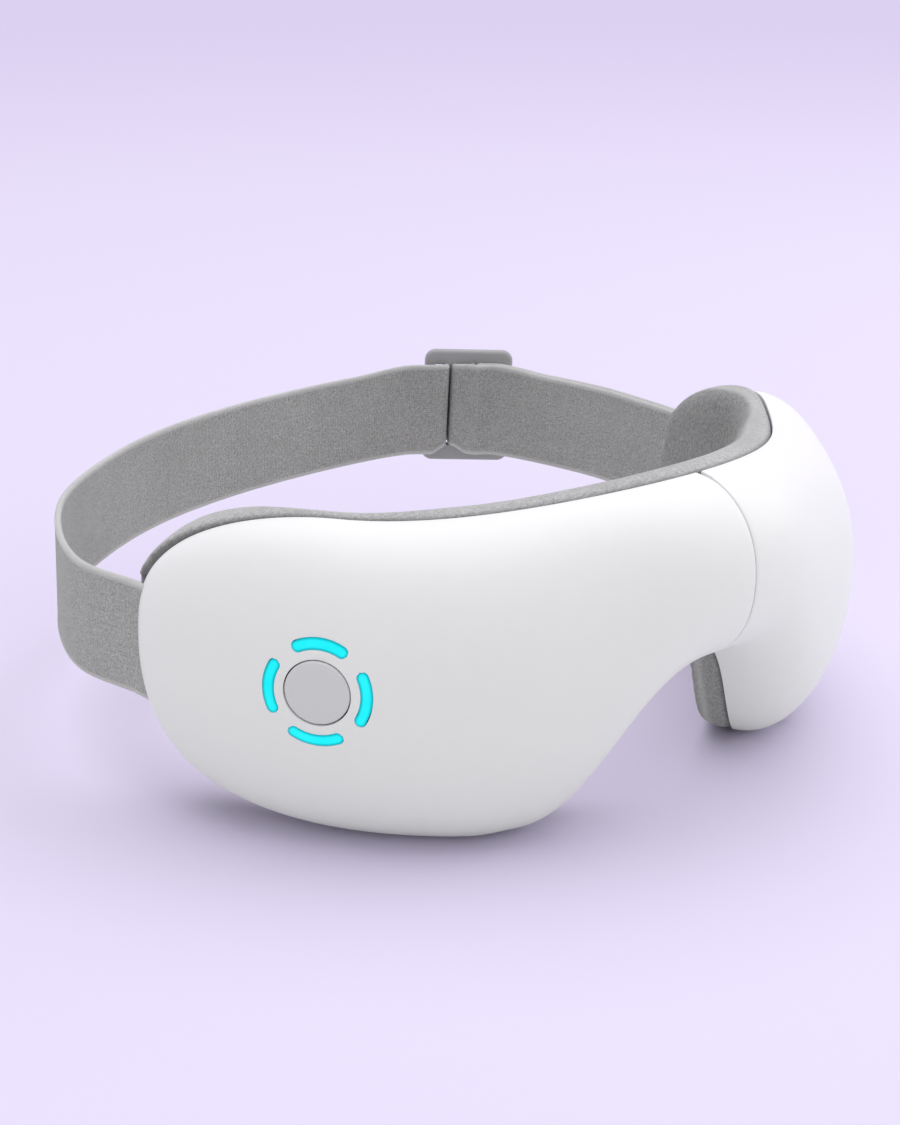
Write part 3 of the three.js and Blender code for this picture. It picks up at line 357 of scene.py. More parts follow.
class Wire:
    # a socket in a node tree: sums add Math nodes, and node adds any other

    def __init__(self, tree, socket=None):
        self.tree = tree
        self.socket = socket

    def feed(self, value, socket):
        if isinstance(value, Wire):
            self.tree.links.new(value.socket, socket)
        elif socket.type == "RGBA":
            socket.default_value = (*value, 1)
        else:
            socket.default_value = value

    def node(self, kind, output=0, settings=None, numbered=None, **named):
        made = self.tree.nodes.new("ShaderNode" + kind)
        for name, value in (settings or {}).items():
            setattr(made, name, value)
        for index, value in (numbered or {}).items():
            self.feed(value, made.inputs[index])
        for name, value in named.items():
            self.feed(value, made.inputs[name.replace("_", " ")])
        return Wire(self.tree, made.outputs[output])

    def math(self, operation, *values):
        return self.node("Math", 0, {"operation": operation}, dict(enumerate((self, *values))))

    def __add__(self, other):
        return self.math("ADD", other)

    def __mul__(self, other):
        return self.math("MULTIPLY", other)

    def __abs__(self):
        return self.math("ABSOLUTE")

    __radd__ = __add__
    __rmul__ = __mul__


def dress(material, **inputs):
    wire = Wire(material.node_tree)
    shader = material.node_tree.nodes["Principled BSDF"]
    for name, value in inputs.items():
        wire.feed(value, shader.inputs[name.replace("_", " ")])
    return material


def newFinish(name, **inputs):
    material = bpy.data.materials.new(name)
    material.use_nodes = True
    return dress(material, **inputs)


def newFabric(name, look):
    return newFinish(name, Sheen_Weight=look["sheen"], Sheen_Roughness=look["sheenRoughness"],
                     Specular_IOR_Level=look["specular"])


def objectPlace(material):
    return Wire(material.node_tree).node("TexCoord", "Object")


def painted(place, name):
    return place.node("Attribute", "Fac", {"attribute_name": name})


def noise(place, scale, detail=3, coarseness=0.5):
    return place.node("TexNoise", "Fac", Vector=place, Scale=scale, Detail=detail, Roughness=coarseness)


spotShares = (0.34, 0.66)


def spots(place, scale, detail=3, coarseness=0.5):
    # a noise whose middle tones are stretched over the full range
    low, high = spotShares
    even = noise(place, scale, detail, coarseness)
    return place.node("MapRange", "Result", Value=even, From_Min=low, From_Max=high)


def blendOf(share, low, high):
    return share.node("Mix", 2, {"data_type": "RGBA"}, {0: share, 6: low, 7: high})


def ranged(pattern, span):
    # a base value and what the pattern adds to it
    base, gain = span
    return base + pattern * gain


def bump(height, span):
    depth, strength = span
    return height.node("Bump", "Normal", Height=height, Distance=depth, Strength=strength)


# Frames on one half: x along the rim, y inwards, z up

def rimFrame(along, height):
    point, tangent = rimPlace(along)
    turn = math.atan2(tangent.y, tangent.x)
    return Matrix.Translation((point.x, point.y, height)) @ Matrix.Rotation(turn, 4, "Z")


def block(size, place, frame=Matrix.Identity(4), corner=0.0):
    bm = bmesh.new()
    bmesh.ops.create_cube(bm, size=1)
    bmesh.ops.scale(bm, vec=size, verts=bm.verts)
    if corner:
        beveled(bm, bm.edges, corner, 3)
    bmesh.ops.translate(bm, vec=place, verts=bm.verts)
    bmesh.ops.transform(bm, matrix=frame, verts=bm.verts)
    return bm


def pushed(bm, way):
    # a flat sheet made a block along one way
    made = bmesh.ops.extrude_face_region(bm, geom=bm.faces)
    moved = [part for part in made["geom"] if isinstance(part, bmesh.types.BMVert)]
    bmesh.ops.translate(bm, vec=way, verts=moved)
    bmesh.ops.recalc_face_normals(bm, faces=bm.faces)


def turned(profile, frame, steps=96):
    # a profile of radius and depth pairs, spun round the frame's y axis
    bm = bmesh.new()
    line = [bm.verts.new((radius, depth, 0)) for radius, depth in profile]
    edges = [bm.edges.new(pair) for pair in zip(line, line[1:])]
    bmesh.ops.spin(bm, geom=line + edges, cent=(0, 0, 0), axis=(0, 1, 0), angle=2 * math.pi,
                   steps=steps, use_merge=True)
    bmesh.ops.remove_doubles(bm, verts=bm.verts, dist=joinGap)
    bmesh.ops.recalc_face_normals(bm, faces=bm.faces)
    bmesh.ops.transform(bm, matrix=frame, verts=bm.verts)
    return bm


print("shape and material tools ready")

# Finishes: tones from dark to light, roughness as base and gain, bump as depth and strength

plainFinishes = {
    "button_satin_grey": {
        "scale": 2600,
        "tones": ((0.70, 0.694, 0.715), (0.74, 0.734, 0.755)),
        "roughness": (0.32, 0.1),
        "bump": (0.00003, 0.4),
    },
    "slider_grey_plastic": {
        "scale": 1900,
        "tones": ((0.37, 0.367, 0.38), (0.42, 0.417, 0.43)),
        "roughness": (0.4, 0.14),
        "bump": (0.00005, 0.5),
    },
    "frame_moulded_grey": {
        "scale": 1500,
        "tones": ((0.25, 0.25, 0.265), (0.30, 0.30, 0.315)),
        "roughness": (0.5, 0.15),
        "bump": (0.00006, 0.5),
    },
    "steel_turned": {
        "scale": 700,
        "tones": ((0.50, 0.51, 0.53), (0.60, 0.61, 0.63)),
        "roughness": (0.3, 0.12),
        "metallic": 1.0,
    },
    "steel_can": {
        "scale": 700,
        "tones": ((0.50, 0.51, 0.53), (0.60, 0.61, 0.63)),
        "roughness": (0.22, 0.12),
        "metallic": 1.0,
    },
    "airbag_film": {
        "scale": 180,
        "tones": ((0.60, 0.61, 0.63), (0.70, 0.71, 0.73)),
        "roughness": (0.22, 0.2),
        "bump": (0.0003, 0.5),
    },
    "battery_wrap": {
        "scale": 240,
        "tones": ((0.035, 0.11, 0.31), (0.055, 0.15, 0.38)),
        "roughness": (0.28, 0.16),
        "bump": (0.00012, 0.5),
    },
    "port_metal": {
        "scale": 900,
        "tones": ((0.44, 0.45, 0.47), (0.54, 0.55, 0.57)),
        "roughness": (0.28, 0.14),
        "metallic": 0.85,
    },
    "hose_silicone": {
        "scale": 420,
        "detail": 2,
        "coarseness": 0.5,
        "tones": ((0.70, 0.70, 0.71), (0.78, 0.78, 0.79)),
        "roughness": (0.35, 0.15),
    },
}


def plainFinish(name):
    look = plainFinishes[name]
    material = newFinish(name, Metallic=look.get("metallic", 0.0))
    grain = noise(objectPlace(material), look["scale"], look.get("detail", 3), look.get("coarseness", 0.6))
    dress(material, Base_Color=blendOf(grain, *look["tones"]), Roughness=ranged(grain, look["roughness"]))
    if "bump" in look:
        dress(material, Normal=bump(grain, look["bump"]))
    return material


shellLook = {
    "specular": 0.45,
    "mottleScale": 260,
    "grainScale": 3200,
    "tones": ((0.90, 0.90, 0.91), (0.92, 0.92, 0.93)),
    "roughness": (0.38, 0.08),
    "bump": (0.00002, 0.35),
}


def shellFinish():
    look = shellLook
    material = newFinish("shell_satin_white", Specular_IOR_Level=look["specular"])
    place = objectPlace(material)
    mottle = noise(place, look["mottleScale"], 2)
    grain = noise(place, look["grainScale"], 2, 0.6)
    return dress(material, Base_Color=blendOf(mottle, *look["tones"]),
                 Roughness=ranged(mottle, look["roughness"]), Normal=bump(grain, look["bump"]))


lightLook = {
    "base": (0.0, 0.02, 0.025),
    "specular": 0.1,
    "strength": 1.0,
    "spotScale": 260,
    "mottleScale": 900,
    "glows": ((0.0, 0.84, 0.94), (0.03, 0.96, 1.0)),
    "edgeGlow": (0.0, 0.42, 0.50),
    "roughness": (0.25, 0.1),
}


def lightFinish():
    look = lightLook
    material = newFinish("light_guide_cyan", Base_Color=look["base"], Emission_Strength=look["strength"],
                         Specular_IOR_Level=look["specular"])
    place = objectPlace(material)
    glow = blendOf(noise(place, look["spotScale"], 1), *look["glows"])
    mottle = noise(place, look["mottleScale"], 1)
    return dress(material, Emission_Color=blendOf(painted(place, "edge"), glow, look["edgeGlow"]),
                 Roughness=ranged(mottle, look["roughness"]))


cushionLook = {
    "sheen": 0.5,
    "sheenRoughness": 0.4,
    "specular": 0.2,
    "warpScale": 140,
    "warpReach": (0.004, 0.004, 0.004),
    "napScale": 1200,
    "fineScale": 3200,
    "driftScale": 40,
    "napShare": 0.55,
    # side band tones and inner tones: the inner face is partly a darker fabric and partly painted shade, and
    # down-facing sides take the inner tones as painted shade
    "sideTones": ((0.38, 0.376, 0.384), (0.66, 0.654, 0.666)),
    "innerAndUnderShadeTones": ((0.16, 0.157, 0.161), (0.46, 0.454, 0.462)),
    # painted highlight: a pale line along the padded edge between the side band and the inner face
    "edgeTone": (0.70, 0.695, 0.71),
    "edgeShare": 0.55,
    # painted shadow: a dark line along the front edge, where the gap against the shell lies in shade
    "shadowGapTone": (0.09, 0.088, 0.092),
    "shadowGapShare": 0.8,
    "drift": (0.94, 0.12),
    "roughness": (0.84, 0.12),
    "bump": (0.0003, 0.7),
}


def cushionFinish():
    look = cushionLook
    material = newFabric("cushion_suede", look)
    place = objectPlace(material)
    warp = place.node("TexNoise", "Color", Vector=place, Scale=look["warpScale"], Detail=2)
    bent = place.node("VectorMath", 0, {"operation": "MULTIPLY_ADD"},
                      {0: warp, 1: look["warpReach"], 2: place})
    nap = spots(bent, look["napScale"], 3, 0.6)
    fine = spots(place, look["fineScale"], 2, 0.6)
    drift = spots(place, look["driftScale"], 2)
    fur = nap * look["napShare"] + fine * (1 - look["napShare"])
    side, inner = blendOf(fur, *look["sideTones"]), blendOf(fur, *look["innerAndUnderShadeTones"])
    # the inner face darker, partly as its own fabric and partly as painted shade; down-facing sides darker as
    # painted shade
    tone = blendOf(painted(place, "inward"), side, inner)
    # painted highlight along the padded edge
    tone = blendOf(painted(place, "edge") * look["edgeShare"], tone, look["edgeTone"])
    # painted shadow along the front edge, in the gap against the shell
    tone = blendOf(painted(place, "crease") * look["shadowGapShare"], tone, look["shadowGapTone"])
    shade = place.node("HueSaturation", "Color", Color=tone, Value=ranged(drift, look["drift"]))
    return dress(material, Base_Color=shade, Roughness=ranged(fine, look["roughness"]),
                 Normal=bump(fur, look["bump"]))


webbingLook = {
    "sheen": 0.35,
    "sheenRoughness": 0.5,
    "specular": 0.2,
    "ribScale": 0.55,
    "rowScale": 0.5,
    "waver": 1.6,
    "grainScale": 1.3,
    "fleckScale": 2.6,
    "patchScale": 0.35,
    "driftScale": 0.04,
    "weaveShares": (0.16, 0.14, 0.4, 0.3),
    "patchShare": 0.08,
    "tones": ((0.23, 0.226, 0.231), (0.68, 0.67, 0.682)),
    "edgeTone": (0.70, 0.694, 0.708),
    "edgeShare": 0.85,
    "edgeFadeShare": 0.4,
    "drift": (0.96, 0.08),
    "roughness": (0.84, 0.12),
    "bump": (0.0004, 0.8),
}


def webbingFinish():
    # a weave on the band's own length, rise and thickness, in millimetres
    look = webbingLook
    material = newFabric("webbing_grey", look)
    place = Wire(material.node_tree).node("Attribute", "Vector", {"attribute_name": "web"})
    waver = {"Vector": place, "Distortion": look["waver"], "Detail": 2, "Detail_Scale": look["waver"]}
    ribs = place.node("TexWave", "Fac", {"bands_direction": "X"}, Scale=look["ribScale"], **waver)
    rows = place.node("TexWave", "Fac", {"bands_direction": "Y"}, Scale=look["rowScale"], **waver)
    grain = spots(place, look["grainScale"], 3, 0.65)
    fleck = spots(place, look["fleckScale"], 2, 0.6)
    patch = spots(place, look["patchScale"], 2, 0.6)
    drift = spots(place, look["driftScale"], 2)
    ribShare, rowShare, grainShare, fleckShare = look["weaveShares"]
    woven = ribs * ribShare + rows * rowShare + grain * grainShare + fleck * fleckShare
    tone = blendOf(woven * (1 - look["patchShare"]) + patch * look["patchShare"], *look["tones"])
    rise = abs(place.node("SeparateXYZ", "Y", Vector=place))
    edge, selvedge = strap["width"] / 2, strap["selvedge"]
    pale = place.node("MapRange", "Result", {"interpolation_type": "SMOOTHSTEP"}, Value=rise,
                      From_Min=edge - selvedge, From_Max=edge - selvedge * look["edgeFadeShare"])
    tone = blendOf(pale * look["edgeShare"], tone, look["edgeTone"])
    shade = place.node("HueSaturation", "Color", Color=tone, Value=ranged(drift, look["drift"]))
    return dress(material, Base_Color=shade, Roughness=ranged(grain, look["roughness"]),
                 Normal=bump(woven, look["bump"]))


eyePadLook = {
    "sheen": 0.3,
    "sheenRoughness": 0.5,
    "specular": 0.2,
    "napScale": 1700,
    "driftScale": 60,
    "weaveScale": 1100,
    "napShare": 0.5,
    "tones": ((0.085, 0.083, 0.09), (0.15, 0.147, 0.157)),
    "roughness": (0.8, 0.15),
    "bump": (0.00012, 0.6),
}


def eyePadFinish():
    look = eyePadLook
    material = newFabric("eye_pad_fabric", look)
    place = objectPlace(material)
    nap = noise(place, look["napScale"], 3, 0.6)
    drift = noise(place, look["driftScale"], 2)
    weave = place.node("TexVoronoi", "Distance", {"feature": "F1"}, Vector=place, Scale=look["weaveScale"])
    return dress(material, Base_Color=blendOf(nap, *look["tones"]),
                 Roughness=ranged(drift, look["roughness"]),
                 Normal=bump(weave + nap * look["napShare"], look["bump"]))


def trackFinish(material, pattern, look):
    # printed tracks, cut out of a pattern between two of its levels
    low, high = look["levels"]
    track = pattern.node("MapRange", "Result", Value=pattern, From_Min=low, From_Max=high)
    return dress(material, Base_Color=blendOf(track, *look["tones"]),
                 Roughness=ranged(track, look["roughness"]), Normal=bump(track, look["bump"]))


filmLook = {
    "scale": 90,
    "waver": 0.6,
    "levels": (0.55, 0.7),
    "tones": ((0.42, 0.19, 0.03), (0.66, 0.36, 0.13)),
    "roughness": (0.45, -0.15),
    "bump": (0.00005, 0.5),
}


def filmFinish():
    material = newFinish("heating_film")
    place = objectPlace(material)
    waves = place.node("TexWave", "Fac", {"bands_direction": "Z"}, Vector=place,
                       Scale=filmLook["scale"], Distortion=filmLook["waver"])
    return trackFinish(material, waves, filmLook)


boardLook = {
    "scale": 420,
    "levels": (0.02, 0.05),
    "tones": ((0.03, 0.19, 0.09), (0.012, 0.12, 0.055)),
    "roughness": (0.35, 0.1),
    "bump": (0.00003, 0.4),
}


def boardFinish():
    material = newFinish("circuit_board")
    place = objectPlace(material)
    cells = place.node("TexVoronoi", "Distance", {"feature": "DISTANCE_TO_EDGE"}, Vector=place,
                       Scale=boardLook["scale"])
    return trackFinish(material, cells, boardLook)


cableLook = {
    "scale": 520,
    "tones": ((0.50, 0.19, 0.03), (0.68, 0.30, 0.06)),
    "roughness": (0.3, 0.1),
}


def cableFinish():
    material = newFinish("flat_cable_film")
    place = objectPlace(material)
    traces = place.node("TexWave", "Fac", {"bands_direction": "Z"}, Vector=place, Scale=cableLook["scale"])
    return dress(material, Base_Color=blendOf(traces, *cableLook["tones"]),
                 Roughness=ranged(traces, cableLook["roughness"]))


# Front shells: a moulded skin with its openings cut through, given a wall afterwards

shell = {
    "columns": 190,
    "rows": 92,
    "crowding": 1.3,
    "wall": 2.0,
    "seamRound": 0.35,
    "seamNotch": 0.5,
    "seamNotchPower": 60,
    "seamNotchReach": 3,
    "seamLimitShare": 1.01,
    "flatFacing": 0.99,
    "edgeRound": 0.16,
    "edgeAngle": 50,
    "openingSpare": 0.2,
    "cutBefore": 6,
    "cutThrough": 14,
}

chargeSlot = {
    "size": (9.4, 3.6, 14),
    "place": (-12, -7.6, -26),
    "height": 35,
    "corner": 1.2,
}

window = {
    "near": 5,
    "far": 11,
    "rise": 2.7,
    "height": 21,
}

button = {
    "alongShare": 0.645,
    "height": 39.6,
    "turn": 55.3,
    "radius": 7.1,
    "dome": 0.2,
    "chamfer": 0.32,
    "depth": 3.0,
    "ringInner": 9.4,
    "ringOuter": 11.7,
    "ringArc": 53,
    "lights": 4,
    "steps": 128,
    "sharpAngle": 25,
    "gap": 0.1,
    "domeShares": (0.5, 0.3),
    "crease": (0.02, 0.005),
    "chamferShares": (0.3, 0.35),
    "edge": 0.05,
    "cutterGrid": (40, 8),
    "lightGrid": (64, 10),
    "lightThickness": 1.6,
    "lightSink": 0.03,
    "lightEdge": 0.5,
    "castFrom": 20,
}

strap = {
    "width": 27,
    "thickness": 1.4,
    "selvedge": 1.7,
    "selvedgeShare": 0.1,
    "bottom": 22.5,
    "gap": 0.35,
    "exitInset": 0.7,
    "exitSetback": 1.5,
    "reach": 101.6,
    "leftShares": [(-1.043, 0.215), (-0.844, 0.58), (-0.578, 0.784),
                   (-0.274, 0.926), (0.087, 1.0), (0.455, 1.01)],
    "rightShares": [(1.029, 0.504), (1.03, 0.303)],
    "runLeadShares": (-0.7, -0.5),
    "loopLeadShares": (0.1, 0.3),
    "pinRadius": 2,
    "pinSetback": 12.5,
    "pinDepth": 4.6,
    "wrapRoundness": 4,
    "approach": 30,
    "step": 0.9,
    "lift": 0.6,
    "liftReach": 60,
    "curlStart": 0.8,
    "curlReach": 5.5,
    "curlTop": 1.0,
    "slotDrop": 0.6,
    "curlBottom": 2.4,
    "nearShares": (0.5, 1.2),
    "slitGap": 0.6,
    "easing": 150,
    "turnAngles": (225, -45),
    "turnSteps": 60,
    "turnEasing": 8,
    "tailAngles": (-80, -400),
    "tailSteps": 80,
    "tailEasing": 2,
    "tuckShare": 0.4,
    "templeReach": 10,
    "loopBlendShare": 0.45,
    "faceRows": 18,
    "edgeRows": 8,
    "softShare": 0.5,
    "sharpAngle": 70,
    "roomFront": 1,
    "roomRise": 1.2,
}

slider = {
    "place": (80, 164.8),
    "heading": -36,
    "length": 26,
    "thickness": 2.6,
    "bar": 3,
    "centreBar": 3.5,
    "slot": 6.6,
    "rail": 2.9,
    "slack": 0.8,
    "corner": 3.2,
    "edge": 1.1,
    "shift": 1.0,
    "rise": 1.7,
    "topSpare": 1.4,
    "bottomSpare": 2.0,
    "slitShare": -0.2,
    "slotEdge": 0.45,
    "sharpAngle": 30,
}


def shellPlace(columnShare, rowShare):
    rise = math.sin(math.pi * (rowShare - 0.5))
    start = mask["seamGap"] / 2
    along = start + (rimLength - start) * (1 - (1 - columnShare) ** shell["crowding"])
    point = facePoint(along, rise)
    nearSeam = max(0, 1 - along / shell["seamNotchReach"])
    notch = shell["seamNotch"] * abs(rise) ** shell["seamNotchPower"] * nearSeam
    return point + Vector((notch, 0, 0))


def shellSkin():
    return spread(shell["columns"], shell["rows"], shellPlace)


def standOnFloor(bm):
    for vert in bm.verts:
        vert.co.z = max(vert.co.z, 0)


buttonAlong = rimLength * button["alongShare"]


def faceAt(along, height):
    bottom, top = outlineAt(along, rimLength, mask["bottomRoundness"])
    rise = (height - (top + bottom) / 2) / ((top - bottom) / 2)
    return facePoint(along, rise)


buttonFrame = (Matrix.Translation(faceAt(buttonAlong, button["height"]))
               @ Matrix.Rotation(math.radians(button["turn"]), 4, "Z"))


def arcPlace(index, lengthShare, acrossShare, spare=0.0):
    # a place on a light's round-ended arc, in the button's frame
    middle = (button["ringInner"] + button["ringOuter"]) / 2
    half = (button["ringOuter"] - button["ringInner"]) / 2 + spare
    turn = math.radians(button["ringArc"])
    straight = middle * turn
    total = straight + 2 * half
    reach = lengthShare * total - total / 2
    past = max(abs(reach) - straight / 2, 0) / half
    width = half * math.sqrt(max(1 - past * past, 0))
    angle = 2 * math.pi * index / button["lights"] + reach / middle
    radius = middle + width * (2 * acrossShare - 1)
    return Vector((radius * math.cos(angle), 0, radius * math.sin(angle)))


def arcCutter(index):
    def place(lengthShare, acrossShare):
        return arcPlace(index, lengthShare, acrossShare, shell["openingSpare"])

    bm = spread(*button["cutterGrid"], place)
    bmesh.ops.translate(bm, vec=(0, -shell["cutBefore"], 0), verts=bm.verts)
    pushed(bm, (0, shell["cutThrough"], 0))
    bmesh.ops.transform(bm, matrix=buttonFrame, verts=bm.verts)
    return bm


exitX = mask["halfWidth"] - strap["exitInset"] + strap["thickness"] / 2
exitY = mask["templeDepth"] + strap["exitSetback"]
layerPitch = strap["thickness"] + strap["gap"]
pinAlong = rimLength - strap["pinSetback"]
pinCentre = rimPoint(pinAlong, strap["pinDepth"], 0)


def strapRoomCutters(spare):
    # the room that the strap's two layers need at the temple, and round the pin
    layers = 2 * strap["thickness"] + strap["gap"]
    height = strap["width"] + 2 * spare
    level = strap["bottom"] + strap["width"] / 2
    end = rimFrame(rimLength, level)
    reach = strap["pinSetback"]
    depth = layers + 3 * mask["seamGap"]
    front = strap["roomFront"]
    size = (reach, depth + front, height + strap["roomRise"] - 2 * spare)
    notch = block(size, (0, (front - depth) / 2, 0), end)
    wide = layers + 2 * spare
    middleX = exitX + layerPitch / 2
    run = block((wide, 2 * reach, height), (middleX, exitY, level))
    return [notch, run]


def closeSeam(bm):
    # the end wall at the seam, with the window that the hose and cable pass through
    limit = mask["seamGap"] / 2 + shell["seamNotch"] * shell["seamLimitShare"]
    seam = []
    for edge in bm.edges:
        places = [vert.co.x for vert in edge.verts]
        if edge.is_boundary and max(places) < limit and max(places) - min(places) < shell["seamNotch"] / 2:
            seam.append(edge)
    ends = sorted({vert for edge in seam for vert in edge.verts}, key=lambda vert: vert.co.z)
    closing = bmesh.ops.contextual_create(bm, geom=[ends[0], ends[-1]])
    made = bmesh.ops.edgeloop_fill(bm, edges=seam + closing["edges"])
    wall = set(made["faces"])
    low = mask["noseArchHeight"] + window["rise"]
    high = low + window["height"]
    for place, way in (((0, 0, low), (0, 0, 1)), ((0, 0, high), (0, 0, 1)),
                       ((0, -window["near"], 0), (0, 1, 0)), ((0, -window["far"], 0), (0, 1, 0))):
        parts = list(wall) + list({edge for face in wall for edge in face.edges})
        parts += list({vert for face in wall for vert in face.verts})
        bmesh.ops.bisect_plane(bm, geom=parts, plane_co=place, plane_no=way)
        flat = [face for face in bm.faces if abs(face.normal.x) > shell["flatFacing"]]
        wall = {face for face in flat if face.calc_center_median().x < limit}
    hole = []
    for face in wall:
        middle = face.calc_center_median()
        if low < middle.z < high and window["near"] < -middle.y < window["far"]:
            hole.append(face)
    bmesh.ops.delete(bm, geom=hole, context="FACES")
    wall -= set(hole)
    corner = [edge for edge in bm.edges if len(edge.link_faces) == 2
              and sum(face in wall for face in edge.link_faces) == 1]
    beveled(bm, corner, shell["seamRound"], 2)
    bmesh.ops.recalc_face_normals(bm, faces=bm.faces)


def makeShell(side, material):
    half = "right" if side > 0 else "left"
    bm = shellSkin()
    closeSeam(bm)
    placed(bm, side)
    standOnFloor(bm)
    obj = asObject(bm, f"{half}_shell", material)
    walled(obj, shell["wall"])
    cutters = strapRoomCutters(mask["seamGap"])
    if side < 0:
        radius, reach = button["radius"] + shell["openingSpare"], shell["cutBefore"]
        cutters.append(turned([(0, -reach), (radius, -reach), (radius, reach), (0, reach)], buttonFrame))
        cutters += [arcCutter(index) for index in range(button["lights"])]
    else:
        slotFrame = rimFrame(rimLength / 2, chargeSlot["height"])
        cutters.append(block(chargeSlot["size"], chargeSlot["place"], slotFrame, chargeSlot["corner"]))
    objects = [asObject(placed(cutter, side), "cutter") for cutter in cutters]
    cutWith(obj, objects)
    edged(obj, shell["edgeRound"], 2, shell["edgeAngle"])
    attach(obj, f"{half}_half")
    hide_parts(f"{half}_front_shell")
    return obj


shellWhite = shellFinish()
makeShell(1, shellWhite)
makeShell(-1, shellWhite)
print("shells moulded")

# Power button, set in its hole

def makeButton():
    rim = button["radius"] - button["gap"]
    flat, dome, depth, edge = rim - button["chamfer"], button["dome"], button["depth"], button["edge"]
    top = dome + button["chamfer"]
    creaseIn, creaseRise = button["crease"]
    middleShare, riseShare = button["domeShares"]
    outShare, downShare = button["chamferShares"]
    profile = [
        (0, 0),
        (rim * middleShare, dome * riseShare),
        (flat - creaseIn, dome),
        (flat, dome + creaseRise),
        (rim - button["chamfer"] * outShare, dome + button["chamfer"] * downShare),
        (rim, top),
        (rim, top + edge),
        (rim, depth),
        (rim - edge, depth),
        (0, depth),
    ]
    cap = placed(turned(profile, buttonFrame, button["steps"]), -1)
    obj = asObject(cap, "button_cap", plainFinish("button_satin_grey"), button["sharpAngle"])
    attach(obj, "button")
    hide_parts("power_button")


makeButton()

# Light guides, laid on the shell's own surface

def makeLights():
    skin = shellSkin()
    tree = BVHTree.FromBMesh(skin)
    inward = (buttonFrame.to_3x3() @ Vector((0, 1, 0))).normalized()
    material = lightFinish()
    for index in range(button["lights"]):
        def place(lengthShare, acrossShare):
            point = buttonFrame @ arcPlace(index, lengthShare, acrossShare)
            hit = tree.ray_cast(point - inward * button["castFrom"], inward)[0]
            return hit + inward * button["lightSink"]

        bm = spread(*button["lightGrid"], place)
        layer = bm.verts.layers.float.new("edge")
        rim = [vert.co.copy() for vert in bm.verts if vert.is_boundary]
        for vert in bm.verts:
            near = min((vert.co - other).length for other in rim)
            vert[layer] = 1 - clamp(near / button["lightEdge"])
        placed(bm, -1)
        obj = asObject(bm, f"light_arc_{index + 1}", material)
        facing = obj.data.polygons[0].normal.dot(toPart.to_3x3() @ Vector((-inward.x, inward.y, inward.z)))
        walled(obj, button["lightThickness"], -1 if facing < 0 else 1)
        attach(obj, "left_half")
        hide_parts(f"light_guide_{index + 1}")
    skin.free()


makeLights()
print("button and lights set")

# Head strap

def strapLevel(back):
    # the band's lower edge, which leans with the mask
    return strap["bottom"] - math.tan(math.radians(mask["lean"])) * (back - mask["templeDepth"])


def sliderPoint(along, out):
    heading = math.radians(slider["heading"])
    alongWay = Vector((math.cos(heading), math.sin(heading)))
    outWay = Vector((-alongWay.y, alongWay.x))
    return Vector(slider["place"]) + alongWay * (along + slider["shift"]) + outWay * out


def strapShare(shares):
    across, back = shares
    return Vector((across * mask["halfWidth"], mask["templeDepth"] + back * strap["reach"]))


def splinePoint(points, share):
    # a smooth plan curve through its points
    last = len(points) - 1
    place = clamp(share) * last
    index = min(int(place), last - 1)
    weight = place - index
    first, second = points[index], points[index + 1]
    before = points[index - 1] if index > 0 else 2 * first - second
    after = points[index + 2] if index + 2 <= last else 2 * second - first
    lead, span, trail = (max(math.sqrt((b - a).length), joinGap)
                         for a, b in ((before, first), (first, second), (second, after)))
    leave = ((first - before) / lead - (second - before) / (lead + span) + (second - first) / span) * span
    arrive = ((second - first) / span - (after - first) / (span + trail) + (after - second) / trail) * span
    square, cube = weight * weight, weight ** 3
    return (first * (2 * cube - 3 * square + 1) + leave * (cube - 2 * square + weight)
            + second * (3 * square - 2 * cube) + arrive * (cube - square))


def headings(points):
    ways = []
    for index in range(len(points)):
        before, after = points[max(index - 1, 0)], points[min(index + 1, len(points) - 1)]
        ways.append((after - before).normalized())
    return ways


def routeAlong(points, distance=0.0, steps=400):
    line = [splinePoint(points, index / steps) for index in range(steps + 1)]
    if not distance:
        return line
    return [point + Vector((-way.y, way.x)) * distance for point, way in zip(line, headings(line))]


def evenly(points, step):
    reach = [0.0]
    for before, after in zip(points, points[1:]):
        reach.append(reach[-1] + (after - before).length)
    count = max(2, round(reach[-1] / step))
    made, index = [], 0
    for number in range(count + 1):
        wanted = reach[-1] * number / count
        while index < len(points) - 2 and reach[index + 1] < wanted:
            index += 1
        span = reach[index + 1] - reach[index]
        weight = (wanted - reach[index]) / span if span else 0
        made.append(points[index].lerp(points[index + 1], clamp(weight)))
    return made


def eased(points, rounds):
    for _ in range(rounds):
        middle = [(a + 2 * b + c) / 4 for a, b, c in zip(points, points[1:], points[2:])]
        points = [points[0]] + middle + [points[-1]]
    return points


def barWrap(layer, angles, count):
    start, end = angles
    middle = -slider["length"] / 2 + slider["bar"] + slider["slot"] + slider["centreBar"] / 2
    spare = strap["gap"] + strap["thickness"] / 2 + layer * layerPitch
    aside = spare + layer * strap["slitGap"]
    points = []
    for index in range(count + 1):
        angle = math.radians(start + (end - start) * index / count)
        across, out = superOval(angle, strap["wrapRoundness"])
        points.append(sliderPoint(middle + across * (slider["centreBar"] / 2 + aside),
                                  out * (slider["thickness"] / 2 + spare)))
    return points


def pinWrap(count=24):
    radius = strap["pinRadius"] + strap["gap"] + strap["thickness"] / 2
    return [Vector((pinCentre.x + radius * math.cos(-math.pi * index / count),
                    pinCentre.y + radius * math.sin(-math.pi * index / count))) for index in range(count + 1)]


def onLeft(points):
    return [Vector((-point.x, point.y)) for point in points]


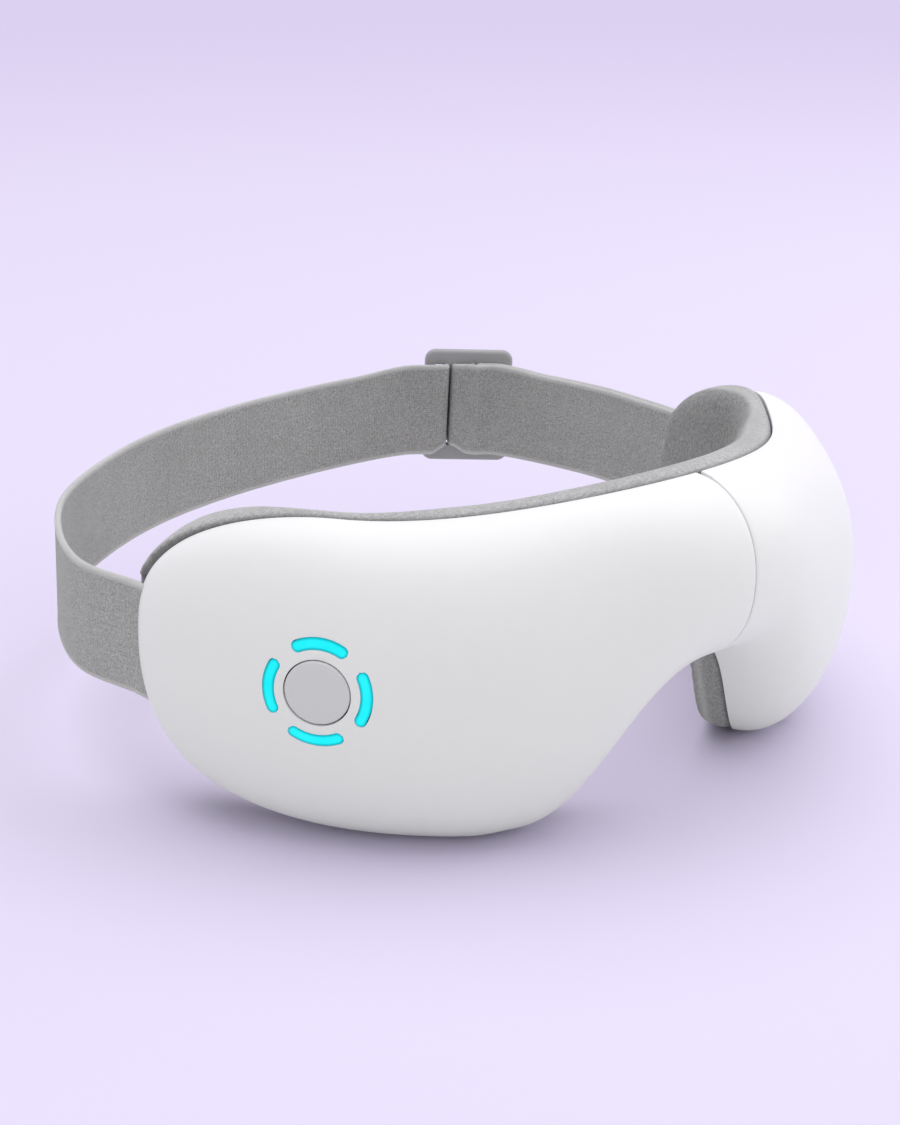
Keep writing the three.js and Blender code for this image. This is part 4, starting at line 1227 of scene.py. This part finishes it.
def bandRing():
    # the band's cross-section, from the outer face round the top edge and back
    halfWidth, half = strap["width"] / 2, strap["thickness"] / 2
    faceRows, turnRows = strap["faceRows"], strap["edgeRows"]
    reach = halfWidth - half
    ring = []
    for index in range(faceRows):
        ring.append((half, reach * (2 * index / faceRows - 1)))
    for index in range(turnRows):
        angle = math.pi * index / turnRows
        ring.append((half * math.cos(angle), reach + half * math.sin(angle)))
    for index in range(faceRows):
        ring.append((-half, reach * (1 - 2 * index / faceRows)))
    for index in range(turnRows):
        angle = math.pi + math.pi * index / turnRows
        ring.append((half * math.cos(angle), -reach + half * math.sin(angle)))
    made = []
    fullSwell = halfWidth - strap["selvedge"] * strap["softShare"]
    for out, rise in ring:
        swell = smooth(abs(rise), halfWidth - strap["selvedge"], fullSwell)
        made.append((out * (1 + strap["selvedgeShare"] * swell), rise))
    return made


def makeBand(name, points, material, start=0.0):
    line = evenly(points, strap["step"])
    ways = headings(line)
    ring = bandRing()
    slit = sliderPoint(slider["slitShare"] * slider["length"], 0)
    alongWay = (sliderPoint(1, 0) - sliderPoint(0, 0)).normalized()
    outWay = Vector((-alongWay.y, alongWay.x))
    reach = [start]
    for before, after in zip(line, line[1:]):
        reach.append(reach[-1] + (after - before).length)
    marks = {}
    columns, rows = len(line) - 1, len(ring)

    def place(columnShare, rowShare):
        column, row = round(columnShare * columns), round(rowShare * rows) % rows
        out, rise = ring[row]
        across = Vector((-ways[column].y, ways[column].x))
        spot = line[column] + across * out
        away = (spot - slit).length
        level = strapLevel(spot.y) + strap["lift"] * (1 - smooth(away, 0, strap["liftReach"]))
        topShare = rise / strap["width"] + 0.5
        beside = 1 - smooth(abs((spot - slit).dot(alongWay)), strap["curlStart"], strap["curlReach"])
        behind = smooth((spot - slit).dot(outWay), -slider["thickness"] / 2, 0)
        near = 1 - smooth(away, *[share * slider["length"] for share in strap["nearShares"]])
        curl = (strap["curlTop"] - strap["slotDrop"] * behind) * topShare
        curl += strap["curlBottom"] * (1 - topShare) * max(beside, behind)
        level += curl * near
        point = Vector((spot.x, spot.y, level + strap["width"] / 2 + rise))
        marks[tuple(round(value, 3) for value in point)] = (reach[column], rise, out)
        return point

    bm = spread(columns, rows, place, looseJoin)
    web = bm.verts.layers.float_vector.new("web")
    for vert in bm.verts:
        vert[web] = marks.get(tuple(round(value, 3) for value in vert.co), (0, 0, 0))
    holes = [edge for edge in bm.edges if edge.is_boundary]
    bmesh.ops.holes_fill(bm, edges=holes, sides=0)
    placed(bm)
    obj = asObject(bm, name, material, strap["sharpAngle"])
    return obj, reach[-1]


def planPoint(point):
    # a plan point at the strap's middle height, in the part's own place
    return toPart @ Vector((point.x, point.y, strapLevel(point.y) + strap["width"] / 2))


def makeStrap():
    material = webbingFinish()
    face = slider["thickness"] / 2 + strap["gap"] + strap["thickness"] / 2
    length = slider["length"]
    leftRun = routeAlong([
        Vector((-exitX - layerPitch, exitY)),
        *[strapShare(shares) for shares in strap["leftShares"]],
        *[sliderPoint(share * length, -face) for share in strap["runLeadShares"]],
    ])
    leftRun = eased(leftRun, strap["easing"])
    edge = sliderPoint(-length / 2, -face)
    split = next(index for index, point in enumerate(leftRun) if (point - edge).length < strap["approach"])
    leftTurn = onLeft(pinWrap())[::-1]
    leftEnd = Vector((-exitX, exitY)).lerp(leftTurn[0], strap["tuckShare"])
    first = [leftEnd] + leftTurn + leftRun[:split + 1]
    rightPlan = [
        *[sliderPoint(share * length, -face - layerPitch) for share in strap["loopLeadShares"]],
        *[strapShare(shares) for shares in strap["rightShares"]],
        Vector((exitX, exitY)),
    ]
    outer = eased(routeAlong(rightPlan, layerPitch), strap["easing"])
    inner = eased(routeAlong(rightPlan), strap["easing"])
    turn = barWrap(1, strap["turnAngles"], strap["turnSteps"])
    tail = barWrap(0, strap["tailAngles"], strap["tailSteps"])
    second = eased(leftRun[split:] + turn + outer[:2], strap["turnEasing"])
    third = outer[1:] + pinWrap() + inner[::-1] + eased(tail, strap["tailEasing"])
    firstBand, reach = makeBand("strap_left_run", first, material)
    secondBand, reach = makeBand("strap_slider_turn", second, material, reach)
    thirdBand, reach = makeBand("strap_right_loop", third, material, reach)
    near, far = planPoint(leftRun[split]), planPoint(edge)
    templePlace = planPoint(Vector((-exitX, exitY + strap["templeReach"])))
    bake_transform(firstBand)
    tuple(near)
    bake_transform(secondBand)
    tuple(near)
    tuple(far)
    start, end = planPoint(outer[1]), planPoint(outer[round(len(outer) * strap["loopBlendShare"])])
    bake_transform(thirdBand)
    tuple(start)
    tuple(end)
    for band in (firstBand, secondBand, thirdBand):
        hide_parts("head_strap")


makeStrap()
print("strap threaded")

# Strap slider: a moulded frame with two slots

def makeSlider():
    height = strap["width"] + 2 * slider["slack"] + 2 * slider["rail"]
    lift = strapLevel(slider["place"][1]) + strap["width"] / 2
    middle = sliderPoint(0, 0)
    frameMatrix = (Matrix.Translation((middle.x, middle.y, lift + slider["rise"]))
                   @ Matrix.Rotation(math.radians(slider["heading"]), 4, "Z"))
    bm = bmesh.new()
    bmesh.ops.create_cube(bm, size=1)
    bmesh.ops.scale(bm, vec=(slider["length"], slider["thickness"], height), verts=bm.verts)
    half = slider["thickness"] / 2
    corners = [edge for edge in bm.edges if abs((edge.verts[0].co - edge.verts[1].co).y) > half]
    beveled(bm, corners, slider["corner"], 10)
    rims = [edge for edge in bm.edges if abs((edge.verts[0].co - edge.verts[1].co).y) < half]
    rims = [edge for edge in rims if edge.calc_face_angle(0) > math.pi / 4]
    beveled(bm, rims, slider["edge"], 5)
    bmesh.ops.transform(bm, matrix=frameMatrix, verts=bm.verts)
    obj = asObject(placed(bm), "slider_frame", plainFinish("slider_grey_plastic"), slider["sharpAngle"])
    left = -slider["length"] / 2 + slider["bar"]
    right = left + slider["slot"] + slider["centreBar"]
    widths = [slider["slot"], slider["length"] / 2 - slider["bar"] - right]
    cutters = []
    tall = height - 2 * slider["rail"] - slider["topSpare"] - slider["bottomSpare"]
    offset = (slider["bottomSpare"] - slider["topSpare"]) / 2
    for start, width in zip((left, right), widths):
        size = (width, 3 * slider["thickness"], tall)
        cutters.append(block(size, (start + width / 2, 0, offset), frameMatrix))
    cutWith(obj, [asObject(placed(cutter), "cutter") for cutter in cutters])
    edged(obj, slider["slotEdge"], 3, shell["edgeAngle"], slider["sharpAngle"])
    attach(obj, "slider")
    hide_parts("strap_slider")


makeSlider()
print("slider made")

# Cushion: one soft band over both halves and the bridge, with an oval opening over each eye

cushion = {
    "depth": 8.8,
    "templeDepth": 15.4,
    "growStart": 88,
    "growPower": 1.2,
    "dip": 2.4,
    "dipAlong": 80,
    "dipReach": 26,
    "overhang": 3,
    "frontRadius": 1.2,
    "backRadius": 3.4,
    "radiusShare": 0.9,
    "crown": 0.5,
    "topCrown": 0.5,
    "footRoundness": 3.3,
    "topRise": 0.7,
    "footLift": 0.3,
    "taperHeight": 12,
    "frontGap": 0.2,
    "cornerShares": ((0.12, 0.27), (0.32, 0.39), (0.61, 0.68), (0.73, 0.88)),
    "eyeAlong": 40.9,
    "eyeLevel": 36.5,
    "eyeWidth": 43.2,
    "eyeHeight": 38,
    "eyeRoundness": 2.4,
    "eyeSteps": 72,
    "eyeCut": 24,
    "strapRoom": 0.35,
    "columns": 300,
    "rows": 80,
    "voxel": 0.95,
    "easeFactor": 0.5,
    "easeRounds": 6,
    "foldReach": 10,
    # setbacks over which the painted shadow at the front edge fades out
    "shadowGapReach": (0.2, 1.3),
    # the painted highlight along the padded edge: its width, its place on the section, and its steps
    "highlightReach": 1.6,
    "highlightShares": (0.25, 0.75),
    "highlightSteps": 700,
    # facings that take the darker inner tone: inward partly fabric and partly painted shade, downward as
    # painted shade
    "inwardFacing": (0.15, 0.6),
    "underShadeFacing": 0.35,
    "slack": 0.35,
    "clothVoxel": 4,
    "pressure": 4,
    "frames": 20,
    "swell": 0.9,
    "neighbours": 6,
}


def cushionDepthAt(along):
    share = clamp((along - cushion["growStart"]) / (rimLength - cushion["growStart"]))
    dip = cushion["dip"] * (1 - smooth(abs(along - cushion["dipAlong"]), 0, cushion["dipReach"]))
    grown = (cushion["templeDepth"] - cushion["depth"]) * share ** cushion["growPower"]
    return cushion["depth"] - dip + grown


def sectionPlace(share, half, depth):
    # setback and height on a rounded box: tight against the shell, well rounded towards the face
    front = min(cushion["frontRadius"], half * cushion["radiusShare"])
    back = min(cushion["backRadius"], half * cushion["radiusShare"])
    corners = ((depth - back, half - back, back), (front, half - front, front),
               (front, front - half, front), (depth - back, back - half, back))
    spots = []
    for index, (setback, height, radius) in enumerate(corners):
        for end in (0, 1):
            angle = math.pi / 2 * (index + end)
            spots.append(Vector((setback + radius * math.cos(angle), height + radius * math.sin(angle))))
    place = share % 1
    for index, (start, end) in enumerate(cushion["cornerShares"]):
        if start <= place <= end:
            setback, height, radius = corners[index]
            angle = math.pi / 2 * (index + (place - start) / (end - start))
            return Vector((setback + radius * math.cos(angle), height + radius * math.sin(angle)))
        following = cushion["cornerShares"][(index + 1) % 4][0] + (1 if index == 3 else 0)
        ahead = place + 1 if index == 3 and place < end else place
        if end < ahead < following:
            weight = (ahead - end) / (following - end)
            spot = spots[2 * index + 1].lerp(spots[(2 * index + 2) % 8], weight)
            swell = 1 - (2 * weight - 1) ** 2
            if index == 3:
                spot.x += cushion["crown"] * swell
            elif index != 1:
                spot.y += math.copysign(min(cushion["topCrown"], half / 2) * swell, spot.y)
            return spot
    return spots[0]


def cushionPlace(alongSigned, share):
    length = rimLength + cushion["overhang"]
    along = abs(alongSigned) * length
    depth = cushionDepthAt(along) - cushion["slack"]
    bottom, top = outlineAt(along, length, cushion["footRoundness"])
    full = min(1, (top - bottom) / 2 / cushion["taperHeight"])
    top += (cushion["topRise"] - cushion["slack"]) * full
    bottom += cushion["footLift"] * full
    half = (top - bottom) / 2
    setback, height = sectionPlace(share, max(half, 0), depth)
    radius = cushion["backRadius"]
    past = clamp((setback - depth + radius) / radius)
    roundOff = radius * (1 - math.sqrt(max(0, 1 - past * past)))
    reach = along * (length - roundOff) / length
    point = rimPoint(reach, -cushion["frontGap"] - setback, (top + bottom) / 2 + height)
    return Vector((math.copysign(point.x, alongSigned) if alongSigned else 0, point.y, point.z))


def eyeFrame():
    return rimFrame(cushion["eyeAlong"], cushion["eyeLevel"])


def eyePlug():
    # a tall oval plug through the opening
    depth = cushion["eyeCut"]
    bm = bmesh.new()
    bmesh.ops.create_circle(bm, cap_ends=True, radius=1, segments=cushion["eyeSteps"])
    for vert in bm.verts:
        across, up = superOval(math.atan2(vert.co.y, vert.co.x), cushion["eyeRoundness"])
        vert.co = (across * cushion["eyeWidth"] / 2, -depth, up * cushion["eyeHeight"] / 2)
    pushed(bm, (0, 2 * depth, 0))
    bmesh.ops.transform(bm, matrix=eyeFrame(), verts=bm.verts)
    return bm


def markCushion(obj):
    # how far each place looks inwards or downwards, for the darker inner tone that is partly its own fabric
    # and partly painted shade; how near it is to the padded edge, for a painted highlight; and how near it
    # lies to the shell's rim, for a painted shadow line
    inverse = toPart.inverted()
    turn = inverse.to_3x3()
    flat = [(point.x, point.y, 0) for point in rimPoints]
    rimTree = treeOf(flat + [(-x, y, 0) for x, y, _ in flat])
    highlightLine = []
    steps = cushion["highlightSteps"]
    for step in range(-steps, steps + 1):
        for share in cushion["highlightShares"]:
            highlightLine.append(cushionPlace(step / steps, share))
    highlightTree = treeOf(highlightLine)
    inward = obj.data.attributes.new("inward", "FLOAT", "POINT")
    edge = obj.data.attributes.new("edge", "FLOAT", "POINT")
    crease = obj.data.attributes.new("crease", "FLOAT", "POINT")
    for vert in obj.data.vertices:
        place = inverse @ vert.co
        normal = (turn @ vert.normal).normalized()
        index = rimTree.find((place.x, place.y, 0))[1] % len(rimPoints)
        way = rimPlace(rimReach[index])[1]
        inside = Vector((-way.y * (1 if place.x > 0 else -1), way.x, 0))
        facing = smooth(normal.dot(inside), *cushion["inwardFacing"])
        # down-facing places take the inner tone as painted shade
        inward.data[vert.index].value = max(facing, smooth(-normal.z, 0, cushion["underShadeFacing"]))
        # painted highlight along the padded edge
        edge.data[vert.index].value = 1 - clamp(highlightTree.find(place)[2] / cushion["highlightReach"])
        # painted shadow near the shell's rim, where the cushion's front edge sits in a shade gap
        rim = rimPoints[index]
        setback = Vector((abs(place.x) - rim.x, place.y - rim.y)).dot(Vector((-way.y, way.x)))
        crease.data[vert.index].value = 1 - smooth(setback, *cushion["shadowGapReach"])


def cushionBody(name):
    def place(columnShare, rowShare):
        return cushionPlace(math.sin(math.pi * (columnShare - 0.5)), rowShare)

    bm = spread(cushion["columns"], cushion["rows"], place, looseJoin)
    placed(bm)
    standOnFloor(bm)
    return asObject(bm, name)


def swollen(points):
    # cloth under pressure on a coarse copy held at its front face, its moves passed on to the fine pad
    cloth = cushionBody("cloth_copy")
    evened(cloth, cushion["clothVoxel"])
    settle(cloth, 180)
    inverse = toPart.inverted()
    held = cloth.vertex_groups.new(name="held")
    for vert in cloth.data.vertices:
        place = inverse @ vert.co
        plan = Vector((abs(place.x), place.y))
        if min((point - plan).length for point in rimPoints) < cushion["clothVoxel"] / 2:
            held.add([vert.index], 1, "REPLACE")
    pressed = cloth.modifiers.new("cloth", "CLOTH")
    pressed.settings.use_pressure = True
    pressed.settings.uniform_pressure_force = cushion["pressure"]
    pressed.settings.effector_weights.gravity = 0
    pressed.settings.vertex_group_mass = "held"
    rest = [vert.co.copy() for vert in cloth.data.vertices]
    for number in range(1, cushion["frames"] + 1):
        scene.frame_set(number)
    after = cloth.evaluated_get(bpy.context.evaluated_depsgraph_get()).data
    limit = cushion["swell"] * mm
    moves = []
    for vert, start in zip(after.vertices, rest):
        move = vert.co - start
        moves.append(move * (limit / (limit + move.length)))
    scene.frame_set(1)
    tree = treeOf(rest)
    made = []
    for point in points:
        total, weights = Vector(), 0
        for _, index, distance in tree.find_n(point, cushion["neighbours"]):
            weight = 1 / (distance + mm) ** 2
            total += moves[index] * weight
            weights += weight
        made.append(point + total / weights)
    furthest = max(move.length for move in moves) / mm
    print("cloth of", len(rest), "points moved up to", round(furthest, 2), "mm")
    bpy.data.objects.remove(cloth)
    return made


def makeCushion():
    obj = cushionBody("face_cushion")
    places = swollen([vert.co.copy() for vert in obj.data.vertices])
    for vert, place in zip(obj.data.vertices, places):
        vert.co = (place.x, place.y, max(place.z, 0))
    cutters = []
    for side in (1, -1):
        cutters.append(placed(eyePlug(), side))
        cutters.append(placed(strapRoomCutters(cushion["strapRoom"])[1], side))
    cutWith(obj, [asObject(cutter, "cutter") for cutter in cutters])
    evened(obj, cushion["voxel"])
    ease = obj.modifiers.new("ease", "SMOOTH")
    ease.factor = cushion["easeFactor"]
    ease.iterations = cushion["easeRounds"]
    settle(obj, 180)
    markCushion(obj)
    obj.data.materials.clear()
    obj.data.materials.append(cushionFinish())
    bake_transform(obj)
    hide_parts("left_cushion", "right_cushion", "bridge_pad")


makeCushion()

# Eye pads: thin crowned ovals over the heating film and the air bag

eyePad = {
    "setback": 4.4,
    "thickness": 2.4,
    "crown": 1.7,
    "spare": 0.1,
    "rings": 22,
    "segments": 96,
    "tries": 5,
    "edgePower": 16,
    "sharpAngle": 60,
}
intoEye = eyeFrame().inverted()


def eyePadPlace(radiusShare, turnShare, back):
    across, up = superOval(2 * math.pi * turnShare, cushion["eyeRoundness"])
    aside = across * radiusShare * (cushion["eyeWidth"] / 2 - eyePad["spare"])
    height = cushion["eyeLevel"] + up * radiusShare * (cushion["eyeHeight"] / 2 - eyePad["spare"])
    soft = math.sqrt(max(0, 1 - radiusShare ** eyePad["edgePower"]))
    crown = eyePad["crown"] * (1 - radiusShare ** 2)
    depth = eyePad["setback"] + (eyePad["thickness"] * soft + crown) * back
    along = cushion["eyeAlong"] + aside
    for _ in range(eyePad["tries"]):
        along += aside - (intoEye @ rimPoint(along, -depth, height)).x
    return rimPoint(along, -depth, height)


def makeEyePads():
    material = eyePadFinish()

    def place(rowShare, turnShare):
        radiusShare = math.sin((1 - abs(2 * rowShare - 1)) * math.pi / 2)
        return eyePadPlace(radiusShare, turnShare % 1, 1 if rowShare > 0.5 else 0)

    for half, side in (("right", 1), ("left", -1)):
        bm = spread(2 * eyePad["rings"], eyePad["segments"], place, looseJoin)
        obj = asObject(placed(bm, side), f"{half}_eye_pad_soft", material, eyePad["sharpAngle"])
        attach(obj, f"{half}_half")
        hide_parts(f"{half}_eye_pad")


makeEyePads()
print("cushion and eye pads padded")

# Hose and flat cable inside the halves, their long edges cut finer

flexible = {
    "longEdge": 3,
    "cuts": 2,
    "sharpAngle": 50,
}


def makeFlexible(node, name, material):
    bm = bmesh.new()
    bm.from_mesh(nodes[node].data)
    bmesh.ops.remove_doubles(bm, verts=bm.verts, dist=looseJoin * mm)
    long = [edge for edge in bm.edges if edge.calc_length() > flexible["longEdge"] * mm]
    bmesh.ops.subdivide_edges(bm, edges=long, cuts=flexible["cuts"])
    obj = asObject(bm, name, material, flexible["sharpAngle"])
    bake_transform(obj)
    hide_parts(node)


makeFlexible("air_hose", "air_hose_soft", plainFinish("hose_silicone"))
makeFlexible("bridge_cable", "flat_cable", cableFinish())

# Finishes of the parts that the frame already holds

def paintNodes(names, material):
    for name in names:
        data = nodes[name].data
        data.materials.clear()
        data.materials.append(material)


def bothHalves(*names):
    return [f"{half}_{name}" for half in ("left", "right") for name in names]


screws = bothHalves("screw_1", "screw_2", "screw_3")
paintNodes(bothHalves("rear_frame") + ["switch_plunger"], plainFinish("frame_moulded_grey"))
paintNodes(screws + bothHalves("strap_pin") + ["hinge_pin"], plainFinish("steel_turned"))
paintNodes(bothHalves("vibration_motor") + ["air_pump"], plainFinish("steel_can"))
paintNodes(bothHalves("airbag"), plainFinish("airbag_film"))
paintNodes(bothHalves("heating_film"), filmFinish())
paintNodes(["battery"], plainFinish("battery_wrap"))
paintNodes(["main_board", "button_board", "charge_board"], boardFinish())
paintNodes(["charge_port", "tact_switch"], plainFinish("port_metal"))
print("inner parts finished")

# Floor, backdrop and lights

studio = {
    "floor": 3.0,
    "floorGrid": 8,
    "floorRoughness": 0.9,
    "floorSpecular": 0.1,
    "lilac": (0.75, 0.69, 0.89),
    # the floor is painted darker away from the mask, as painted falloff of the light
    "farShadedLilac": (0.66, 0.59, 0.81),
    "bounce": (0.76, 0.757, 0.765),
    "falloffStart": 0.2,
    "falloffEnd": 1.8,
    "backdrop": (0.72, 0.64, 0.88),
    "worldStrength": 0.59,
    "sunStrength": 1.52,
    "sunAngle": 75,
    "sunPlace": (0.1, 0.1, 1),
    "sidePower": 2.6,
    "sideSize": 0.9,
    "sidePlace": (1.0, -0.5, 0.55),
    "aim": (0, 0, 0.03),
}


def seenRays(tree):
    # 1 for what the camera sees, straight or through metal and glass
    start = Wire(tree)
    kinds = ("Camera", "Glossy", "Transmission")
    straight, mirrored, through = [start.node("LightPath", f"Is {kind} Ray") for kind in kinds]
    return straight.math("MAXIMUM", mirrored).math("MAXIMUM", through)


def makeFloor():
    bm = bmesh.new()
    bmesh.ops.create_grid(bm, x_segments=studio["floorGrid"], y_segments=studio["floorGrid"],
                          size=studio["floor"])
    floor = asObject(bm, "floor")
    material = newFinish("floor_lilac", Roughness=studio["floorRoughness"],
                         Specular_IOR_Level=studio["floorSpecular"])
    place = objectPlace(material)
    # painted falloff of the light: the lilac darkens with distance from the mask
    distance = place.node("VectorMath", "Value", {"operation": "LENGTH"}, Vector=place)
    far = place.node("MapRange", "Result", {"interpolation_type": "SMOOTHSTEP"}, Value=distance,
                     From_Min=studio["falloffStart"], From_Max=studio["falloffEnd"])
    lilac = blendOf(far, studio["lilac"], studio["farShadedLilac"])
    dress(material, Base_Color=blendOf(seenRays(material.node_tree), studio["bounce"], lilac))
    floor.data.materials.append(material)


def makeWorld():
    world = bpy.data.worlds.new("studio")
    world.use_nodes = True
    scene.world = world
    tree = world.node_tree
    start = Wire(tree)
    light = start.node("Background", Color=(1, 1, 1), Strength=studio["worldStrength"])
    backdrop = start.node("Background", Color=studio["backdrop"], Strength=1)
    both = start.node("MixShader", numbered={0: seenRays(tree), 1: light, 2: backdrop})
    start.feed(both, tree.nodes["World Output"].inputs["Surface"])


def aimed(name, lamp, place):
    obj = bpy.data.objects.new(name, lamp)
    obj.location = place
    way = Vector(studio["aim"]) - Vector(place)
    obj.rotation_mode = "QUATERNION"
    obj.rotation_quaternion = way.to_track_quat("-Z", "Y")
    scene.collection.objects.link(obj)


def makeLamps():
    sun = bpy.data.lights.new("top_light", "SUN")
    sun.energy = studio["sunStrength"]
    sun.angle = math.radians(studio["sunAngle"])
    aimed("top_light", sun, studio["sunPlace"])
    side = bpy.data.lights.new("side_light", "AREA")
    side.shape = "DISK"
    side.size = studio["sideSize"]
    side.energy = studio["sidePower"]
    aimed("side_light", side, studio["sidePlace"])


makeFloor()
makeWorld()
makeLamps()
scene.view_settings.view_transform = "Standard"
print("studio lit")
